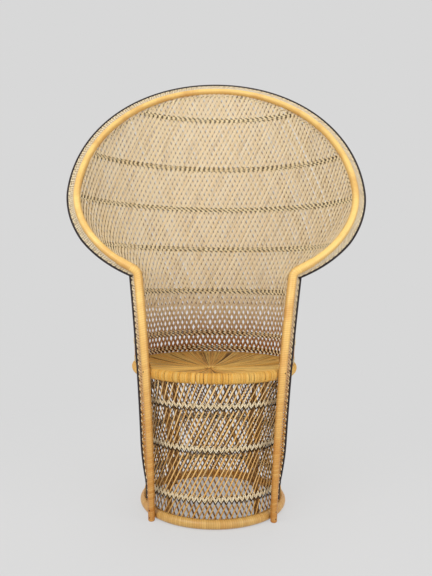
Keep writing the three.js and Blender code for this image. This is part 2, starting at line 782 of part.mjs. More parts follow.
// Starts a ring at the corner that faces the first corner of the ring that it follows
function matchRing(ring, target, own) {
  const facing = (corners) => corners[1].clone().sub(corners[0]).cross(corners[2].clone().sub(corners[0]));
  const isTurned = facing(own).dot(facing(target)) < 0;
  const order = own.map((_, i) => i);
  if (isTurned) order.reverse();
  const distances = order.map((i) => own[i].distanceTo(target[0]));
  const first = distances.indexOf(Math.min(...distances));
  return order.map((_, i) => ring[order[(first + i) % order.length]]);
}

// Binding of cane over the hoop's end, up to the butt joint with the upright
function shoulderBinding(side) {
  const curve = new HoopCurve(side * turnBefore(jointTurn, bindingLength), side * jointTurn);
  const inner = hoopRadius + curveGap;
  const ringsAt = (radius) => poleRings(curve, () => radius, bindingSteps, poleSides, hoopSlope);
  return loft([...ringsAt(inner + bindingThickness), ...ringsAt(inner).reverse()], true);
}

// Flange along a pole, from the pole's surface to the edge rod at the end of each arm
function flangeStrip(places) {
  return loft(places.map(({ centre, arm, along, inner }) => {
    const out = arm.clone().normalize();
    const through = new THREE.Vector3().crossVectors(along, out).normalize();
    const outer = arm.length() - edgeRodFlat - pieceGap;
    const middle = centre.clone().addScaledVector(out, (inner + outer) / 2);
    return boxRing(middle, out, (outer - inner) / 2, through, -flangeThickness / 2, flangeThickness / 2);
  }));
}

// Rod along a flange's edge, with one of its flats against the flange
function edgeRod(places) {
  return loft(places.map(({ centre, arm, along }) => {
    const out = arm.clone().normalize();
    const through = new THREE.Vector3().crossVectors(along, out).normalize();
    const middle = centre.clone().add(arm);
    return Array.from({ length: thinRodSides }, (_, i) => {
      const turn = Math.PI + ((i + 0.5) * 2 * Math.PI) / thinRodSides;
      return middle.clone()
        .addScaledVector(out, edgeRodRadius * Math.cos(turn))
        .addScaledVector(through, edgeRodRadius * Math.sin(turn));
    });
  }));
}

// An arm turned square to a pole, with its length kept
function squareTo(arm, along) {
  const length = arm.length();
  return arm.addScaledVector(along, -arm.dot(along)).setLength(length);
}

// Places of the fan's flange, which narrows towards the shoulders
function fanFlangePlaces() {
  const endTurn = turnBefore(jointTurn, bindingLength + pieceGap);
  const curve = new HoopCurve(-endTurn, endTurn);
  return Array.from({ length: flangeSteps + 1 }, (_, step) => {
    const share = step / flangeSteps;
    const turn = endTurn * (2 * share - 1);
    const reach = Math.cos(turn) > 0 ? hoopRise : hoopDrop;
    const out = new THREE.Vector3(Math.sin(turn) / hoopHalfWidth, 0, Math.cos(turn) / reach).normalize();
    const fromEnd = Math.min(share, 1 - share) * 2;
    const size = fanFlangeEndShare + (1 - fanFlangeEndShare) * Math.min(1, fromEnd / fanFlangeTaperShare);
    const along = curve.getTangent(share);
    const arm = squareTo(out.multiplyScalar(fanFlangeOut * size).setY(fanFlangeBack * size), along);
    return { centre: hoopPoint(turn), arm, along, inner: hoopRadius + curveGap };
  });
}

// Places of an upright's flange, which runs out just above the base ring
function sideFlangePlaces(side) {
  const curve = uprightStem(side);
  const stemHeight = shoulderHeight - uprightBendDrop;
  const places = [];
  for (let step = 0; step <= sideFlangeSteps; step += 1) {
    const share = (step / sideFlangeSteps) * (1 - sideFlangeTopDrop / stemHeight);
    const centre = curve.getPoint(share);
    const rise = (centre.z - sideFlangeFootHeight) / (sideFlangeFullHeight - sideFlangeFootHeight);
    const rest = Math.max(1 - rise, 0);
    const radius = uprightRadius(centre);
    const least = radius + curveGap + edgeRodDiameter + pieceGap;
    const along = curve.getTangent(share);
    const arm = squareTo(new THREE.Vector3(side * sideFlangeOut, sideFlangeBack, 0), along);
    arm.setLength(Math.max(arm.length() * (1 - rest * rest), least));
    if (centre.z > sideFlangeFootHeight) places.push({ centre, arm, along, inner: radius + curveGap });
  }
  return places;
}

const chair = new THREE.Group();

function add(name, geometry, material) {
  const mesh = new THREE.Mesh(geometry, material);
  mesh.name = name;
  chair.add(mesh);
}

// Floor ring, seat and drum
const baseReach = baseRingTubeRadius / Math.cos(Math.PI / poleSides);
const baseProfile = roundProfile(baseRingCentreRadius, baseRingTubeRadius, baseReach, poleSides, 1 / 2);
add('base_ring', revolved(baseProfile, ringFacets), materials.wrappedCane);
const seatProfile = roundProfile(seatRingRadius, seatRingHeight, seatRingTubeRadius, poleSides, 0);
add('seat_ring', revolved(seatProfile, seatPeelCount * 2), materials.barePole);
add('seat_weave', seatWeave(), materials.peel);
add('seat_rail_cross', seatRail(false), materials.barePole);
add('seat_rail_long', seatRail(true), materials.barePole);
for (const [place, angle] of Object.entries(postAngles)) {
  add(`drum_post_${place}`, drumPost(angle), materials.barePole);
}
add('drum_rods', joined([...drumLayer(1, 1), ...drumLayer(-1, -1), drumSelvage()]), materials.drumRod);
for (const [place, height] of Object.entries(drumBandHeights)) {
  add(`drum_band_${place}_outer`, drumBand(height, 1), materials.twine);
  add(`drum_band_${place}_inner`, drumBand(height, -1), materials.twine);
}

// Frame of the back
add('fan_hoop', fanHoop(), materials.wrappedCane);
for (const [name, side] of [['left', -1], ['right', 1]]) {
  add(`${name}_upright`, upright(side), materials.wrappedCane);
  add(`${name}_shoulder_binding`, shoulderBinding(side), materials.wrappedCane);
  const places = sideFlangePlaces(side);
  add(`${name}_flange`, flangeStrip(places), materials.backRod);
  add(`${name}_edge`, edgeRod(places), materials.blackRod);
}
add('fan_flange', flangeStrip(fanFlangePlaces()), materials.backRod);
add('fan_edge', edgeRod(fanFlangePlaces()), materials.blackRod);

// Woven back
add('back_rods', joined([...backLayer(1, -1), ...backLayer(-1, 1), backSelvage()]), materials.backRod);
for (const [place, height] of Object.entries({ seat: seatBandHeight, ...backBandHeights })) {
  add(`back_band_${place}_front`, backBand(height, -1), materials.twine);
  add(`back_band_${place}_rear`, backBand(height, 1), materials.twine);
}

// The origin lies on the floor under the middle of the chair
const box = new THREE.Box3().setFromObject(chair);
chair.position.set(-(box.min.x + box.max.x) / 2, -(box.min.y + box.max.y) / 2, -box.min.z);

export default chair;
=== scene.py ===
"""Peacock chair: wound poles, crossed rods, twined bands and a peel seat, woven round the frame."""

import math
import random

import bmesh
import bpy
from mathutils import Matrix, Vector
from mathutils.kdtree import KDTree


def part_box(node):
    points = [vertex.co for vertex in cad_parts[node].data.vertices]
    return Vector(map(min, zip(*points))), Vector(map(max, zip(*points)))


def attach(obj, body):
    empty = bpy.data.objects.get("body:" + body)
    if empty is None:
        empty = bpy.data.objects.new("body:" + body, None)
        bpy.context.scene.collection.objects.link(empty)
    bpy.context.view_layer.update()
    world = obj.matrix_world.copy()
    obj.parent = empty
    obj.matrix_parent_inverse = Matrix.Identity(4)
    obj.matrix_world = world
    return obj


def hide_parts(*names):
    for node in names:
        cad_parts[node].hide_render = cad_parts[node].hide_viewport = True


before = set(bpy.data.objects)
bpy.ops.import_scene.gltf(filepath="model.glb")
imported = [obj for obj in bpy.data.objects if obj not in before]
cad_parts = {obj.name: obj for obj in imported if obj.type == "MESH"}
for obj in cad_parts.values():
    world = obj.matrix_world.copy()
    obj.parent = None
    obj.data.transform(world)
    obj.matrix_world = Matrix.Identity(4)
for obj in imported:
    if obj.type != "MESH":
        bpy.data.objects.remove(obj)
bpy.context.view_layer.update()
draw = random.Random(86)

MM = 0.001
TINY = 1e-9
UP = Vector((0, 0, 1))
FORWARD = Vector((0, -1, 0))
SIDES = (("left", -1), ("right", 1))

# Sizes that the frame's own pieces give
base_low, base_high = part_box("base_ring")
weave_low, weave_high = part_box("seat_weave")
hoop_low, hoop_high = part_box("fan_hoop")
AXIS_Y = (base_low.y + base_high.y) / 2
BASE_TUBE = (base_high.z - base_low.z) / 2
BASE_RADIUS = (base_high.x - base_low.x) / 2 - BASE_TUBE
SEAT_HEIGHT = weave_high.z
SEAT_RIM = (weave_high.x - weave_low.x) / 2

# Poles of the frame
HOOP_TUBE = 13.5 * MM
HOOP_HALF_WIDTH = (hoop_high.x - hoop_low.x) / 2 - HOOP_TUBE
HOOP_TOP = 1432 * MM
HOOP_WIDEST = 998 * MM
HOOP_DEPTHS = (-150 * MM, -37 * MM, 385 * MM)
SHOULDER_HEIGHT = 729 * MM
SHOULDER_HALF_WIDTH = 225.5 * MM
SHOULDER_REACH = 26 * MM
BEND_DROP = 34 * MM
UPRIGHT_FOOT_TUBE = 10 * MM
FOOT_ANGLE = math.radians(42)
SEAT_ANGLE = math.radians(44)
POLE_GAP = 0.6 * MM
TOUCH_HEIGHT = 8 * MM

# Steps along the poles' lines, and how finely a place on them is searched
RING_STEPS = 240
HOOP_HALF_STEPS = 150
BINDING_STEPS = 20
STEM_STEPS = 60
BEND_STEPS = 16
TURN_STEP = 0.001
TURN_HALVINGS = 20

# Domed nails, which face between straight out and the front
NAIL_HEIGHTS = (9 * MM, 24 * MM, SEAT_HEIGHT - 18 * MM, SEAT_HEIGHT - 8 * MM)
NAIL_RADIUS = 1.9 * MM
NAIL_DOME_SHARE = 0.5
NAIL_FRONT_SHARE = 0.6
NAIL_FACETS = (12, 8)

# Peel wound round the poles: each turn swells by these shares of the groove, and leans more over its
# first turns from a pole's end
PEEL_WIDTH = 6.4 * MM
PEEL_GROOVE = 0.3 * MM
PEEL_SWELL_SHARES = (-1, 0, 0.25, 0)
PEEL_SLANT = 0.22
SLANT_TURNS = 3
PEEL_INSET = 0.2 * MM
HOOP_PEEL = 11.4 * MM
BINDING_LENGTH = 44 * MM
BINDING_PEEL_WIDTH = PEEL_WIDTH * 0.8
FOOT_TRIM = 2.1 * MM
POLE_SIDES = 14
BASE_RING_SIDES = 16

# Seat
SEAT_RIM_DEPTH = 26 * MM
SEAT_RING_RADIUS = SEAT_RIM - SEAT_RIM_DEPTH / 2
SEAT_RING_HEIGHT = SEAT_HEIGHT - SEAT_RIM_DEPTH / 2
SEAT_SAG = 15 * MM
HUB_FORWARD = 52 * MM
HUB_LEFT = 12 * MM
HUB_RADIUS = 12 * MM
HUB_RINGS = (4 * MM, 9 * MM, 14.5 * MM)
HUB_RISE = 1.5 * MM
HUB_STITCH = 6 * MM
HUB_STEPS = 40
SEAT_EDGE_DROP = 1 * MM
SEAT_RIM_REACH = SEAT_RIM_DEPTH / 2 - 0.4 * MM
SEAT_RIM_HANG = 1.5
SEAT_RIM_TURNS = (90, 64, 38, 12, -14, -40, -68)

# Strips of the seat, which wave up and down round it (both lifts in millimetres). Where the wave is low,
# some are loose and narrow, and their tops darken as painted shade.
SEAT_STRIPS = 300
STRIP_SHARES = (0, 0.1, 0.25, 0.45, 0.65, 0.85)
STRIP_STRAY = 0.15
STRIP_WAVE_COUNTS = (13, 31)
STRIP_WAVE_LIFT = 0.6
STRIP_LIFT = 0.4
STRIP_THICKNESS = 0.6 * MM
STRIP_LAP_SHARE = 1.02
LOOSE_BELOW = -1.05
LOOSE_CHANCE = 0.6
LOOSE_WIDTH_SHARE = 0.6
BACKING_SHARES = (0.02, 0.3, 0.6, 0.86)
BACKING_RIM_TURNS = (90, 45, 0, -40)
BACKING_DROP = 2 * MM
BACKING_INSET = 1.6 * MM
BACKING_THICKNESS = 1.2 * MM
BACKING_SIDES = 64

# Rods of the drum's wall. The rods of its inner layer are stained brown, partly as their own colour and
# partly as painted shade inside the drum.
DRUM_RODS = 86
DRUM_SWEEP = math.radians(52)
DRUM_FOOT = 2 * BASE_TUBE + 0.3 * MM
DRUM_HEAD = SEAT_RING_HEIGHT - SEAT_RIM_DEPTH / 2 + 2 * MM
DRUM_ROD_WIDTH = 4.6 * MM
DRUM_ROD_DEPTH = 2.7 * MM
DRUM_ROD_STEPS = 6
DRUM_ROD_STRAY = 0.12
DRUM_ROD_BOW = 0.012
DRUM_WIDTH_RANGE = (0.85, 1.15)
INNER_STAIN_AND_SHADE_RANGE = (0.5, 0.9)

# Rods and strands of every kind
ROD_SIDES = 6
STRAND_SIDES = 5
STRAND_FLATNESS = 0.8
STITCH_PARTS = 3
OWN_TONE_SHARE = 0.4
TURN_TONE_SHARE = 0.6
PATTERN_SPREAD = 3

# Surface of the back and its rods, which bow and wave a little
STEM_TOP_HALF_WIDTH = SHOULDER_HALF_WIDTH + 40.5 * MM
STEM_TOP_DEPTH = 278 * MM
FAN_BELLY_DEPTH = 341 * MM
BACK_ROD_PITCH = 17.5 * MM
BACK_ROD_LEAN = 0.5
BACK_ROD_DEPTH = 2.5 * MM
BACK_ROD_PACE = 14 * MM
BACK_ROD_STRAY = 0.08
BACK_ROD_BOW = 1.5 * MM
BACK_WAVE_RANGE = (1, 2)
BACK_WIDTH_RANGE = (0.9, 1.06)
# How dark the filling rods are painted, as painted shade
FILLING_SHADE_RANGE = (0.45, 0.9)
ROD_END_ROOM = 4 * MM
ROD_REACH = 3.4 * MM
LAYER_OFFSET = 1.9 * MM
SECTION_STEP = 2 * MM
SURFACE_STEP = 4 * MM
HOOP_TOP_GAP = 0.3 * MM
EDGE_HALVINGS = 10

# Twined rows: how far their strands swing out and up, the strands' radii and how dark each is stained
STITCH = 9.3 * MM
BACK_TWINING = {"depth": 3.4 * MM, "rise": 1.6 * MM, "radii": (1.8 * MM, 2.4 * MM), "stains": (1, 0)}
BEAD_TWINING = {"depth": 1.6 * MM, "rise": 2 * MM, "radii": (1.9 * MM, 2.6 * MM), "stains": (0.85, 0)}
SELVAGE_TWINING = {"depth": 3.2 * MM, "rise": 1.4 * MM, "radii": (1.3 * MM, 2.1 * MM), "stains": (0.8, 0)}
HUB_TWINING = {"depth": 1.2 * MM, "rise": 1.2 * MM, "radii": (2.2 * MM, 2.2 * MM), "stains": (0.3, 0)}

# Bands of the back, from the seat upwards, and the selvage along the poles
BACK_BANDS = ("seat", "stem_low", "stem_high", "fan_low", "fan_middle", "fan_upper", "fan_top")
BACK_BAND_ROWS = 3
ROW_PITCH = 6.2 * MM
ROW_END_CLEARANCE = HOOP_TUBE + 4 * MM
ROW_STEP = 6 * MM
SEAT_BAND_DROP = 7 * MM
SELVAGE_CLEARANCE = HOOP_TUBE + 6 * MM
SELVAGE_FOOT_GAP = 8 * MM
SELVAGE_TOP_GAP = 60 * MM
SELVAGE_SIDE_STEPS = 150
SELVAGE_TOP_STEPS = 60

# Bands of the drum: zigzags outside (their lift, radius and stain), rows of beads inside (lift and phase)
DRUM_BAND_DROP = 4 * MM
CHEVRON_OUT = 2 * MM
CHEVRON_RISE = 13 * MM
CHEVRON_DIP = 1.2 * MM
CHEVRON_LIFT_SHARES = (0, 0.5, 1, 0.5)
CHEVRON_STAIN_SWELL = 0.5
CHEVRON_PATTERN_STEP = 4 * MM
CHEVRONS = ((-5.5 * MM, 1.2 * MM, 1), (0, 1.7 * MM, 0), (6 * MM, 1.5 * MM, 0))
BEADS_IN = 2.2 * MM
BEAD_ROWS = ((-4 * MM, 0), (4 * MM, 0.5))

# Flanges and rims
FAN_RIM_RADIUS = 3.9 * MM
SIDE_RIM_RADIUS = 4.3 * MM
FAN_FLANGE_OUT = 35 * MM
FAN_FLANGE_BACK = 36 * MM
FAN_FLANGE_RUN_SHARE = 0.3
FLANGE_END_SHARE = 0.65
FLANGE_TAPER_SHARE = 0.2
SIDE_FLANGE_OUT = 27 * MM
SIDE_FLANGE_BACK = 36 * MM
SIDE_FLANGE_FOOT = 62 * MM
SIDE_FLANGE_FULL = 235 * MM
SIDE_FLANGE_TOP_RISE = 33 * MM
SIDE_RIM_ROOM = 1.6 * MM
FLANGE_ROD_PITCH = 9 * MM
FLANGE_ROD_DEPTH = 3.4 * MM
FLANGE_ROD_WIDTH = FLANGE_ROD_DEPTH * 1.5
FLANGE_ROD_SIDES = 5
FLANGE_ROD_STEPS = 4
FLANGE_ROD_LEAN = 1.5
FLANGE_ROD_STRAY = 0.1
FLANGE_ROD_LAP = 1 * MM
FLANGE_LAYER_LIFT = 1.2 * MM
RIM_SIDES = 10

# Where a flange's rods end before the middle of its rim, in radii of the rim
FRONT_ROD_END_SHARE = 1.7
REAR_ROD_END_SHARE = 0.9

# Stitched rows of a flange, beside the rim and beside the pole
STITCH_SWING = {"depth": 2.6 * MM, "rise": 1.3 * MM}
RIM_ROW_SHARE = 0.8
RIM_ROW_RADII = (1.1 * MM, 1.9 * MM)
POLE_ROW_SHARE = 0.12
POLE_ROW_RADII = (1 * MM, 1 * MM)
POLE_ROW_STAINS = (0.9, 0.9)
FAN_STITCH_STAIN = 0.5
SIDE_STITCH_STAIN = 0.85

# Photograph's frame, and the view that its ellipses and widths give
PICTURE_HEIGHT = 576
FOCAL_PIXELS = 578
CAMERA_DISTANCE = 1851 * MM
CAMERA_HEIGHT = 711 * MM
CAMERA_SIDE = 2 * MM
VIEW_DROP = 10
CAMERA_ROLL = math.radians(0.64)
SENSOR_WIDTH = 36

# Share of the floor that shows the plain backdrop's colour, in the drum and near the chair. The rest
# takes shadow. Further from the chair, the plain share grows to the whole.
PLAIN_INSIDE = 0.36
PLAIN_NEAR = 0.78
PLAIN_RISE = (0.5, 1.5)
FLOOR_SIZE = 14
FLOOR_DROP = 0.2 * MM

# Soft lamps: name, place, size and power, all turned to the middle of the chair
LAMPS = (
    ("key", (-1.7, -2.6, 2.4), 2.2, 56),
    ("fill", (2.2, -2.2, 1.4), 2.4, 30),
    ("back", (0.4, 2.2, 2.6), 2.0, 16),
)
LAMP_AIM = Vector((0, 0, 0.7))
WORLD_LIGHT = 0.72


def srgb(red, green, blue):
    """A colour as the shaders want it, from the eight-bit values that it shows as."""
    def linear(value):
        value /= 255
        return value / 12.92 if value <= 0.04045 else ((value + 0.055) / 1.055) ** 2.4
    return (linear(red), linear(green), linear(blue), 1)


WHITE = (1, 1, 1, 1)


class Socket:
    """A number in a shader, on which Python's sums add Math nodes."""

    def __init__(self, nodes, link):
        self.nodes = nodes
        self.link = link

    def sum(self, operation, first, second):
        return self.nodes.node("ShaderNodeMath", {"operation": operation}, {0: first, 1: second})

    def __add__(self, other):
        return self.sum("ADD", self, other)

    def __radd__(self, other):
        return self.sum("ADD", other, self)

    def __rsub__(self, other):
        return self.sum("SUBTRACT", other, self)

    def __mul__(self, other):
        return self.sum("MULTIPLY", self, other)

    def __rmul__(self, other):
        return self.sum("MULTIPLY", other, self)


class Nodes:
    """The nodes of one material or of the world."""

    def __init__(self, tree):
        self.tree = tree

    def node(self, kind, settings, sockets, output=0):
        made = self.tree.nodes.new(kind)
        for key, value in settings.items():
            setattr(made, key, value)
        for key, value in sockets.items():
            self.feed(made.inputs[key], value)
        return Socket(self, made.outputs[output])

    def feed(self, socket, value):
        if isinstance(value, Socket):
            self.tree.links.new(value.link, socket)
        else:
            socket.default_value = value

    def ramp(self, factor, low, high):
        """0 below low, 1 above high and a straight slope between them."""
        return self.node("ShaderNodeMapRange", {"clamp": True},
                         {0: factor, 1: low, 2: high, 3: 0.0, 4: 1.0})

    def seen_directly(self):
        """1 for the camera's rays and for those that a surface reflects or lets through."""
        rays = self.node("ShaderNodeLightPath", {}, {})
        outputs = rays.link.node.outputs
        kinds = [Socket(self, outputs[f"Is {kind} Ray"]) for kind in ("Camera", "Glossy", "Transmission")]
        first = self.node("ShaderNodeMath", {"operation": "MAXIMUM"}, {0: kinds[0], 1: kinds[1]})
        return self.node("ShaderNodeMath", {"operation": "MAXIMUM"}, {0: first, 1: kinds[2]})


class Finish(Nodes):
    """A material with one Principled shader, and the nodes that vary it."""

    def __init__(self, name, roughness, specular, coat=0):
        self.material = bpy.data.materials.new(name)
        self.material.use_nodes = True
        super().__init__(self.material.node_tree)
        self.shader = self.tree.nodes["Principled BSDF"]
        self.set("Roughness", roughness)
        self.set("Specular IOR Level", specular)
        self.set("Coat Weight", coat)
        self.set("Coat Roughness", 0.25)

    def set(self, name, value):
        self.feed(self.shader.inputs[name], value)

    def attribute(self, name):
        return self.node("ShaderNodeAttribute", {"attribute_name": name}, {}, "Fac")

    def place(self):
        return self.node("ShaderNodeTexCoord", {}, {}, "Object")

    def place_on(self, axis):
        return self.node("ShaderNodeSeparateXYZ", {}, {0: self.place()}, axis)

    def noise(self, scale, detail=3, vector=None):
        vector = vector or self.place()
        return self.node("ShaderNodeTexNoise", {}, {"Vector": vector, "Scale": scale, "Detail": detail})

    def along_noise(self, length_scale, tone_scale, detail=2):
        """Noise that runs along each strand, and differs from strand to strand."""
        along = self.attribute("along") * length_scale
        tone = self.attribute("tone") * tone_scale
        return self.noise(1, detail, self.node("ShaderNodeCombineXYZ", {}, {0: along, 1: tone}))

    def mix(self, factor, first, second, blend="MIX"):
        settings = {"data_type": "RGBA", "blend_type": blend}
        return self.node("ShaderNodeMix", settings, {0: factor, 6: first, 7: second}, 2)

    def over(self, colour, pattern, low, high, strength, top):
        """Lays the top colour over another where the pattern is past low, in full strength past high."""
        return self.mix(self.ramp(pattern, low, high) * strength, colour, top)

    def done(self, colour, roughness, height, depth):
        """The material, with its colour, its roughness and a relief of a depth."""
        self.set("Base Color", colour)
        self.set("Roughness", roughness)
        self.set("Normal", self.node("ShaderNodeBump", {}, {"Distance": depth, "Height": height}))
        return self.material


def wound_peel(name, low, high, axis, limits, grooves, sides):
    """Peel wound round a pole: its colour runs from low to high along an axis between the limits."""
    finish = Finish(name, 0.36, 0.35, coat=0.2)
    tone = finish.attribute("tone")
    fibres = finish.noise(900, 2)
    stains = finish.noise(14, 4)
    colour = finish.mix(finish.ramp(finish.place_on(axis), *limits), low, high)
    colour = finish.mix(tone * 0.25, colour, srgb(255, 218, 136))
    colour = finish.over(colour, stains, 0.48, 0.76, 0.5, srgb(196, 122, 40))
    # Painted shade: both sides of the pole darken, by the sides share
    colour = finish.over(colour, finish.attribute("edge"), 0.45, 1.0, sides, srgb(150, 86, 20))
    colour = finish.over(colour, fibres, 0.5, 0.7, 0.2, srgb(176, 118, 50))
    colour = finish.mix(finish.attribute("groove") * grooves, colour, srgb(140, 90, 34))
    return finish.done(colour, 0.28 + stains * 0.25, fibres, 0.12 * MM)


def split_cane(name, colour, shade, heights, pale, brown, streak, joint_and_edge_shade):
    """Split cane: pale rods and brown ones (stain, and painted shade on some rods), with streaks, joints,
    painted shade along their edges and painted shade below the heights.
    """
    finish = Finish(name, 0.55, 0.2)
    streaks = finish.along_noise(14, 53, 3)
    joints = finish.along_noise(5, 97, 0)
    fibres = finish.noise(1100, 2)
    colour = finish.mix(finish.attribute("tone") * 0.4, colour, pale)
    colour = finish.mix(finish.attribute("stain_and_shade"), colour, brown)
    colour = finish.over(colour, streaks, 0.48, 0.72, 0.35, streak)
    colour = finish.over(colour, joints, 0.68, 0.74, 0.25, joint_and_edge_shade)
    colour = finish.over(colour, fibres, 0.5, 0.75, 0.3, streak)
    # Painted shade: the rods' sides darken towards the joint colour
    colour = finish.over(colour, finish.attribute("edge"), 0.45, 0.85, 0.35, joint_and_edge_shade)
    tint = finish.mix(finish.ramp(finish.place_on(2), *heights), shade, WHITE)
    colour = finish.mix(1.0, colour, tint, "MULTIPLY")
    return finish.done(colour, 0.46 + fibres * 0.25, fibres, 0.15 * MM)


def twined_strand(name, dark, light, stained):
    """Twined strands: natural cane, and a stained one where the stain attribute says so."""
    finish = Finish(name, 0.55, 0.2)
    tone = finish.attribute("tone")
    fibres = finish.noise(1400, 2)
    patches = finish.noise(60, 3)
    colour = finish.mix(tone, dark, light)
    colour = finish.over(colour, patches, 0.5, 0.8, 0.4, dark)
    colour = finish.mix(finish.attribute("stain_and_shade"), colour, stained)
    colour = finish.over(colour, fibres, 0.5, 0.75, 0.3, srgb(70, 48, 28))
    return finish.done(colour, 0.45 + fibres * 0.25, fibres, 0.15 * MM)


def seat_strip():
    """Seat strips: satin peel, golden on the rim and browner on the top, with dark streaks from the hub,
    painted shade on the loose strips' tops and along every strip's edges. Their groove attribute marks the
    part on the rim."""
    finish = Finish("seat_strip", 0.42, 0.3, coat=0.08)
    tone = finish.attribute("tone")
    streaks = finish.along_noise(6, 61, 3)
    fibres = finish.noise(1000, 2)
    rim = finish.attribute("groove")
    colour = finish.mix(rim, srgb(236, 170, 66), srgb(242, 178, 72))
    colour = finish.mix(tone * (0.85 + rim * -0.35), colour, srgb(255, 224, 134))
    colour = finish.over(colour, streaks, 0.5, 0.64, 0.7 + rim * -0.5, srgb(120, 66, 6))
    # Painted shade: the loose strips' tops darken
    colour = finish.mix(finish.attribute("stain_and_shade") * 0.85, colour, srgb(84, 42, 4))
    colour = finish.over(colour, fibres, 0.5, 0.75, 0.25, srgb(132, 84, 26))
    # Painted shade: the strips' sides darken
    colour = finish.over(colour, finish.attribute("edge"), 0.5, 0.85, 0.35, srgb(110, 66, 18))
    return finish.done(colour, 0.32 + streaks * 0.25, fibres, 0.12 * MM)


def black_stain():
    """Black-stained rods of the rims, worn to brown in places."""
    finish = Finish("black_stain", 0.55, 0.15)
    wear = finish.noise(45, 4)
    fibres = finish.noise(1200, 2)
    colour = finish.over(srgb(52, 45, 47), wear, 0.5, 0.8, 0.5, srgb(86, 72, 68))
    colour = finish.over(colour, fibres, 0.5, 0.8, 0.4, srgb(28, 24, 24))
    return finish.done(colour, 0.46 + wear * 0.25, fibres, 0.15 * MM)


def bare_pole(name, dark, light, patch):
    """Bare rattan, with long fibres and darker patches."""
    finish = Finish(name, 0.62, 0.3)
    stretched = finish.node("ShaderNodeMapping", {}, {"Vector": finish.place(), "Scale": (260, 260, 26)})
    fibres = finish.noise(1, 4, stretched)
    patches = finish.noise(22, 4)
    colour = finish.mix(fibres, dark, light)
    colour = finish.over(colour, patches, 0.5, 0.8, 0.5, patch)
    return finish.done(colour, 0.5 + patches * 0.25, fibres, 0.3 * MM)


def nail_steel():
    """Nail heads: dark steel, rusted in places."""
    finish = Finish("nail_steel", 0.4, 0.5)
    rust = finish.noise(900, 3)
    rusted = finish.ramp(rust, 0.45, 0.7)
    finish.set("Metallic", 1 - rusted)
    colour = finish.mix(rusted, srgb(62, 54, 50), srgb(112, 66, 38))
    return finish.done(colour, 0.35 + rust * 0.4, rust, 0.1 * MM)


# The sides share paints shade on the left and right sides of the uprights and hoop
WOUND_PEEL = wound_peel("wound_peel", low=srgb(182, 116, 36), high=srgb(248, 208, 122), axis=2,
                        limits=(0.02, 0.8), grooves=0.24, sides=0.42)
# Painted shade: the base ring's peel runs from paler at the front to deeper gold at the back, where its
# inside lies in shade
BASE_PEEL = wound_peel("base_peel", low=srgb(194, 152, 82), high=srgb(214, 144, 54), axis=1,
                       limits=(-0.3, 0.1), grooves=0.4, sides=0.0)
DRUM_CANE = split_cane("drum_cane", colour=srgb(236, 190, 116), shade=srgb(240, 226, 196),
                       heights=(0.05, 0.4), pale=srgb(255, 240, 202), brown=srgb(96, 52, 12),
                       streak=srgb(158, 102, 40), joint_and_edge_shade=srgb(66, 36, 6))
BACK_CANE = split_cane("back_cane", colour=srgb(248, 226, 182), shade=srgb(168, 116, 52),
                       heights=(0.46, 0.66), pale=srgb(255, 249, 228), brown=srgb(118, 80, 36),
                       streak=srgb(206, 168, 112), joint_and_edge_shade=srgb(122, 80, 36))
FLANGE_CANE = split_cane("flange_cane", colour=srgb(246, 230, 196), shade=srgb(206, 156, 86),
                         heights=(0.3, 0.75), pale=srgb(255, 244, 214), brown=srgb(120, 82, 40),
                         streak=srgb(190, 148, 94), joint_and_edge_shade=srgb(140, 102, 60))
DRUM_TWINE = twined_strand("drum_twine", dark=srgb(226, 198, 150), light=srgb(255, 244, 214),
                           stained=srgb(30, 18, 8))
BACK_TWINE = twined_strand("back_twine", dark=srgb(226, 196, 142), light=srgb(255, 240, 200),
                           stained=srgb(50, 30, 12))
SEAT_STRIP = seat_strip()
BLACK_STAIN = black_stain()
BARE_POLE = bare_pole("bare_pole", dark=srgb(128, 84, 42), light=srgb(200, 148, 84),
                      patch=srgb(112, 72, 34))
# The shaded cane's dark colours are painted shade, for the backing under the seat's strips
SHADED_CANE = bare_pole("shaded_cane", dark=srgb(70, 40, 14), light=srgb(118, 74, 30),
                        patch=srgb(52, 30, 12))
NAIL_STEEL = nail_steel()


TUBES = {}


def straight_tube(sides, rings, closed):
    """A tube of unit radius with a ring at every unit of height. Each is made once, and bent for every
    rod and strand."""
    key = (sides, rings, closed)
    if key in TUBES:
        return TUBES[key]
    shape = bmesh.new()
    bmesh.ops.create_circle(shape, segments=sides, radius=1)
    bmesh.ops.spin(shape, geom=shape.edges[:], cent=(0, 0, 0), axis=UP, dvec=UP, angle=0,
                   steps=rings - 1)

    def loop_at(height):
        return [edge for edge in shape.edges
                if all(round(point.co.z) == height for point in edge.verts)]

    if closed:
        bmesh.ops.bridge_loops(shape, edges=loop_at(0) + loop_at(rings - 1))
    else:
        bmesh.ops.edgeloop_fill(shape, edges=loop_at(0))
        bmesh.ops.edgeloop_fill(shape, edges=loop_at(rings - 1))
    bmesh.ops.recalc_face_normals(shape, faces=shape.faces)
    edge = shape.verts.layers.float.new("edge")
    for point in shape.verts:
        point[edge] = abs(point.co.y)
    TUBES[key] = bpy.data.meshes.new("tube")
    shape.to_mesh(TUBES[key])
    shape.free()
    return TUBES[key]


